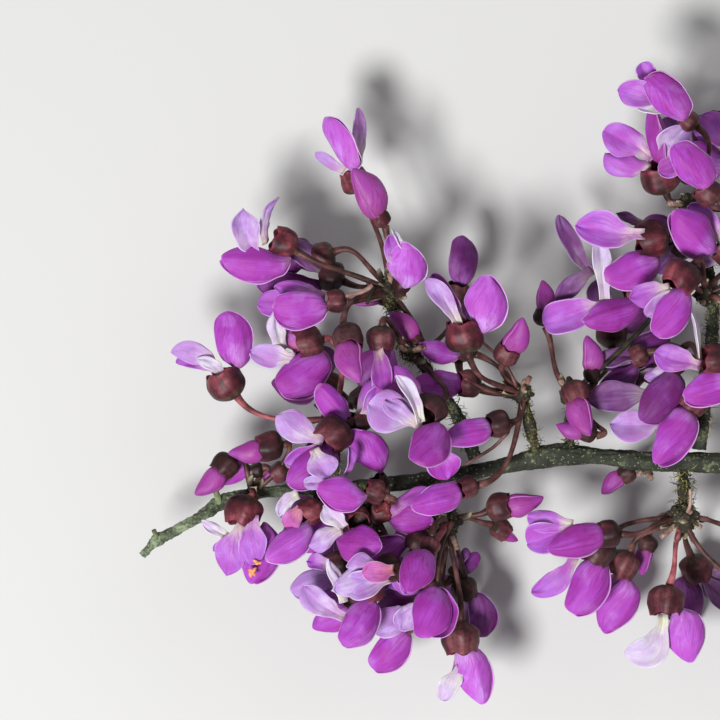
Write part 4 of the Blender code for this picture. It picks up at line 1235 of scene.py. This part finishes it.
def bloom_pieces(spur, bloom, seed, number=0):
    """Every petal of one bloom with its calyx and stalk."""
    chance = random.Random(seed)
    centre = Vector((bloom.x, bloom.y, bloom.z))
    place = bloom_frame(bloom)
    # Unnumbered blooms below the stem are painted in shade: their keels and petals take the darkened looks.
    shaded = not number and bloom.z < 0
    rows = PETALS.get(number) or opened(bloom, place, ("petal_in_painted_shade", "petal_in_painted_shade") if shaded else ("wing", "banner"))
    if bloom.spread < OPEN_FROM:
        rows = []
    ahead = (place.to_3x3() @ Vector((1, 0, 0))).normalized()
    aside = sum((Vector((row.tip_x, row.tip_y, row.tip_z)).normalized() for row in rows), Vector())
    axis = (ahead + 0.8 * aside / max(1, len(rows))).normalized()
    scale, middle = bloom.size * bloom.cup, centre
    if number in TUCKED_CALYXES:
        scale *= TUCKED_CALYX[0]
        middle = centre - Vector((0, 0, TUCKED_CALYX[1]))
    elif number not in BOLD_CALYXES:
        scale *= BUD_CALYX
    stand = axes(axis, place.to_3x3() @ Vector((-0.2, 0.1, 1)))
    # Calyxes of unnumbered blooms and of the listed dark ones take the wine or brown cup, darkened partly as painted
    # shade.
    shade = 0 if number in ROSY_CALYXES else 1 if number and number not in SHADED_DARK_CALYXES else 1 + seed % 2
    cup = Matrix.Translation(middle) @ stand @ Matrix.Scale(scale, 4)
    pieces = [copy_of(CALYX, cup, seed, CALYX_FINISHES[shade])]
    pieces += stalk(spur, middle, axis, scale, bloom.heading, STALK_LOOKS.get(number, "dull"), chance)
    if bloom.spread < KEEL_FROM:
        pieces += [copy_of(half, place, seed, BUD_FINISH) for half in BUD_BODY]
        pieces.append(copy_of(BUD_WRAP, place, seed))
        return pieces
    tint = "keel_in_painted_shade" if shaded else "keel_pale" if number in PALE_KEELS else "keel_deep" if number in DEEP_KEELS else "keel"
    tint = LOOKS[KEEL_LOOKS.get(number, tint)]
    shape = Matrix.Diagonal((chance.uniform(0.97, 1.02), 1, chance.uniform(0.95, 1.05), 1))
    start, rise = KEEL_SEATS.get(number, KEEL_START)
    seat = place @ Matrix.Translation((start, 0, rise)) @ shape
    named = [name for name, numbers in KEEL_SHAPES.items() if number in numbers]
    outline = named[0] if named else list(KEEL_FORMS)[seed // 2 % len(KEEL_FORMS)]
    hidden = -1 if (place.to_3x3() @ Vector((0, 1, 0))).z > 0 else 1
    slip = Matrix.Rotation(math.radians(KEEL_SLIPS.get(number, KEEL_SLIP * chance.random() ** 1.6)), 4, "Y")
    for side, half in zip((-1, 1), KEEL_FORMS[outline]):
        pieces.append(copy_of(half, seat @ slip if side == hidden else seat, seed + 0.3 * side, tint))
    if number == ANTHER_BLOOM:
        for count, spot in enumerate(ANTHERS):
            pose = Matrix.Translation(centre + Vector(spot)) @ Matrix.Rotation(2.4 * count, 4, "Z")
            pieces.append(copy_of(ANTHER, pose, chance.random()))
    for row in rows:
        foot = centre + Vector((row.x, row.y, row.z))
        tip = centre + Vector((row.tip_x, row.tip_y, row.tip_z))
        pieces.append(free_petal(foot, tip, row.width, row.turn, row.bow, row.look, row.point, chance))
    return pieces


# Wood


def wood_under(root, wood):
    """The nearest point on the wood's middle line, and the wood's radius there."""
    route = smooth_route(ROUTES[wood])
    found = []
    for a, b in zip(route, route[1:]):
        spot, share = intersect_point_line(root, a.xyz, b.xyz)
        share = min(1.0, max(0.0, share))
        spot = a.lerp(b, share)
        found.append(((root - spot.xyz).length, spot.xyz, spot.w / 2))
    return min(found, key=lambda entry: entry[0])[1:]


def bark(name, route):
    """A stem along its route with knots, ridges and pits in its skin."""
    length = sum((b.xyz - a.xyz).length for a, b in zip(smooth_route(route), smooth_route(route)[1:]))
    piece = tubes([smooth_route(route)], WOOD_AROUND)
    cuts = max(1, round(length / WOOD_RUN / len(smooth_route(route))))
    edit(piece, (bpy.ops.mesh.subdivide, {"number_cuts": cuts}))
    for vert in piece.data.vertices:
        place = vert.co
        ridge = noise.noise(Vector((place.x * 0.5, place.y * 2.2, place.z * 2.2)))
        pit = noise.noise(place * 3.1)
        vert.co = place + vert.normal * (0.2 * ridge + 0.09 * pit)
    return finished(piece, BARK_FINISH)


def tangle(spots, reach, count, rng):
    """Wiry threads of moss that grow and wander from the given points."""
    threads = []
    for _ in range(count):
        out = Vector((rng.uniform(-1, 1), rng.uniform(-1, 1), rng.uniform(-1, 1))).normalized()
        spot = rng.choice(spots) + out * reach * 0.5
        thread = []
        for step in range(7):
            thread.append((*spot, 0.15 * (1 - step / 8)))
            out = (out + Vector((rng.gauss(0, 0.8), rng.gauss(0, 0.8), rng.gauss(0, 0.8)))).normalized()
            spot = spot + out * rng.uniform(0.15, 0.35) * reach
        threads.append(thread)
    return finished(tubes(threads, 4), MOSS_FINISH)


def stick(row):
    """An odd stalk or scrap, a little crooked and thinner towards its tip."""
    foot, tip = Vector((row.x, row.y, row.z)), Vector((row.tip_x, row.tip_y, row.tip_z))
    crook = (tip - foot).orthogonal() * 0.06
    points = []
    for step in range(9):
        t = step / 8
        points.append((*(foot.lerp(tip, t) + crook * math.sin(4 * t)), row.thick * (1.05 - 0.2 * t)))
    return finished(tubes([points], 10), STICK_FINISHES[row.look])


def spur_pieces(spur, rng):
    """The knobbly head of a spur, its shoot from the wood, and the moss, dry scales and old stalks on both."""
    root = Vector((spur.x, spur.y, spur.z))
    wood, radius = wood_under(root, spur.wood)
    along = (root - wood).normalized()
    stand = Matrix.Translation(root) @ axes(along, Vector((0.1, 0.2, 1)).cross(along))
    bpy.ops.mesh.primitive_uv_sphere_add(segments=32, ring_count=22, radius=spur.knob)
    head = bpy.context.active_object
    for vert in head.data.vertices:
        lump = noise.noise(vert.co * 1.3 + root) * 0.45 + noise.noise(vert.co * 4 + root) * 0.2
        vert.co = vert.co * (1 + lump)
    head.data.transform(stand)
    pieces = [finished(head, KNOB_FINISH)]
    foot = wood + along * radius * 0.5
    run = [foot.lerp(root, step / 8) for step in range(9)]
    shoot = [(*spot, SHOOT_DIAMETER * (1.3 + 0.3 * math.sin(5 * step))) for step, spot in enumerate(run)]
    pieces.append(finished(tubes([shoot], 14), KNOB_FINISH))
    pieces.append(tangle([root, root, *run], spur.knob * 0.8, THREADS, rng))
    stubs = []
    for _ in range(STUBS):
        out = (along * rng.uniform(0, 1) + Vector((rng.uniform(-1, 1), rng.uniform(-1, 1), rng.uniform(-0.2, 1)))).normalized()
        length = rng.uniform(0.8, 1.8) * spur.knob
        stubs.append([(*(root + out * (spur.knob * 0.6 + length * step / 4)), 0.72 + 0.1 * (step % 2)) for step in range(5)])
    pieces.append(finished(tubes(stubs, 10), STUB_FINISH))
    for count in range(SCALES):
        turn = 2.4 * count
        lift = math.pi * (0.08 + 0.8 * count / SCALES)
        out = Vector((-math.cos(lift), math.sin(lift) * math.cos(turn), math.sin(lift) * math.sin(turn)))
        lean = (Vector((1, 0, 0)) + out * (0.2 + 0.9 * rng.random())).normalized()
        size = Matrix.Scale(spur.knob * (0.28 + 0.35 * rng.random()), 4)
        pose = stand @ Matrix.Translation(out * spur.knob * 0.8) @ axes(lean, out) @ size
        pieces.append(copy_of(SCALE, pose, count))
    return pieces


# Stage


def light(name, place, aim, size, power):
    lamp = bpy.data.lights.new(name, "AREA")
    lamp.shape = "DISK"
    lamp.size = size
    lamp.energy = power
    stand = bpy.data.objects.new(name, lamp)
    bpy.context.scene.collection.objects.link(stand)
    stand.location = place
    stand.rotation_euler = (Vector(aim) - Vector(place)).to_track_quat("-Z", "Y").to_euler()


VIEW_CENTRE = Vector((-10.0, 17.143, 5.0))  # the middle of the picture, in the branch's millimetres
VIEW_WIDTH = 102.86 * MM
VIEW_DISTANCE = 1.0
SENSOR = 36.0


def stage():
    bpy.ops.mesh.primitive_plane_add(size=6.0)
    floor = bpy.context.active_object
    floor.name = "floor"
    finish = Finish("floor_paint", 0.9)
    finish.shader.inputs["Base Color"].default_value = (0.60, 0.60, 0.59, 1.0)
    floor.data.materials.append(finish.material)
    world = bpy.data.worlds.new("studio")
    world.use_nodes = True
    world.node_tree.nodes["Background"].inputs["Color"].default_value = (1.0, 1.0, 1.0, 1.0)
    world.node_tree.nodes["Background"].inputs["Strength"].default_value = 0.25
    bpy.context.scene.world = world
    bpy.context.scene.view_settings.view_transform = "Standard"
    light("key", (-0.3, -0.34, 0.84), (0, 0, 0), 0.26, 10.8)
    light("fill", (0.5, 0.6, 0.6), (0, 0, 0), 0.8, 1.4)
    camera = bpy.data.cameras.new("view")
    camera.sensor_width = SENSOR
    camera.lens = SENSOR * VIEW_DISTANCE / VIEW_WIDTH
    camera.clip_start = 0.01
    stand = bpy.data.objects.new("view", camera)
    bpy.context.scene.collection.objects.link(stand)
    stand.location = HOME @ VIEW_CENTRE + Vector((0, 0, VIEW_DISTANCE))
    bpy.context.scene.camera = stand


def build():
    bpy.ops.object.select_all(action="DESELECT")
    for name, route in ROUTES.items():
        pieces = [bark(name, route)] + [stick(row) for row in STICKS.get(name, ())]
        if name != "main_stem":
            spots = [point.xyz for point in smooth_route(route)[4:]]
            pieces.append(tangle(spots, BRANCH_MOSS, BRANCH_THREADS, random.Random(name)))
        put_up(f"{name}_bark", pieces, name)
    seed = 0
    for name, spur in SPURS.items():
        pieces = spur_pieces(spur, random.Random(name))
        for bloom in FUSED[name]:
            seed += 1
            pieces += bloom_pieces(spur, bloom, seed)
        pieces += [stick(row) for row in STICKS.get(name, ())]
        put_up(f"spur_{name}_cluster", pieces, f"spur_{name}")
    number = 0
    for name, blooms in BLOOMS.items():
        for bloom in blooms:
            number += 1
            pieces = bloom_pieces(SPURS[name], bloom, seed + number, number)
            put_up(f"bloom_{number:02d}_flower", pieces, f"bloom_{number:02d}")
    for form in FORMS:
        bpy.data.objects.remove(form)


stage()
build()
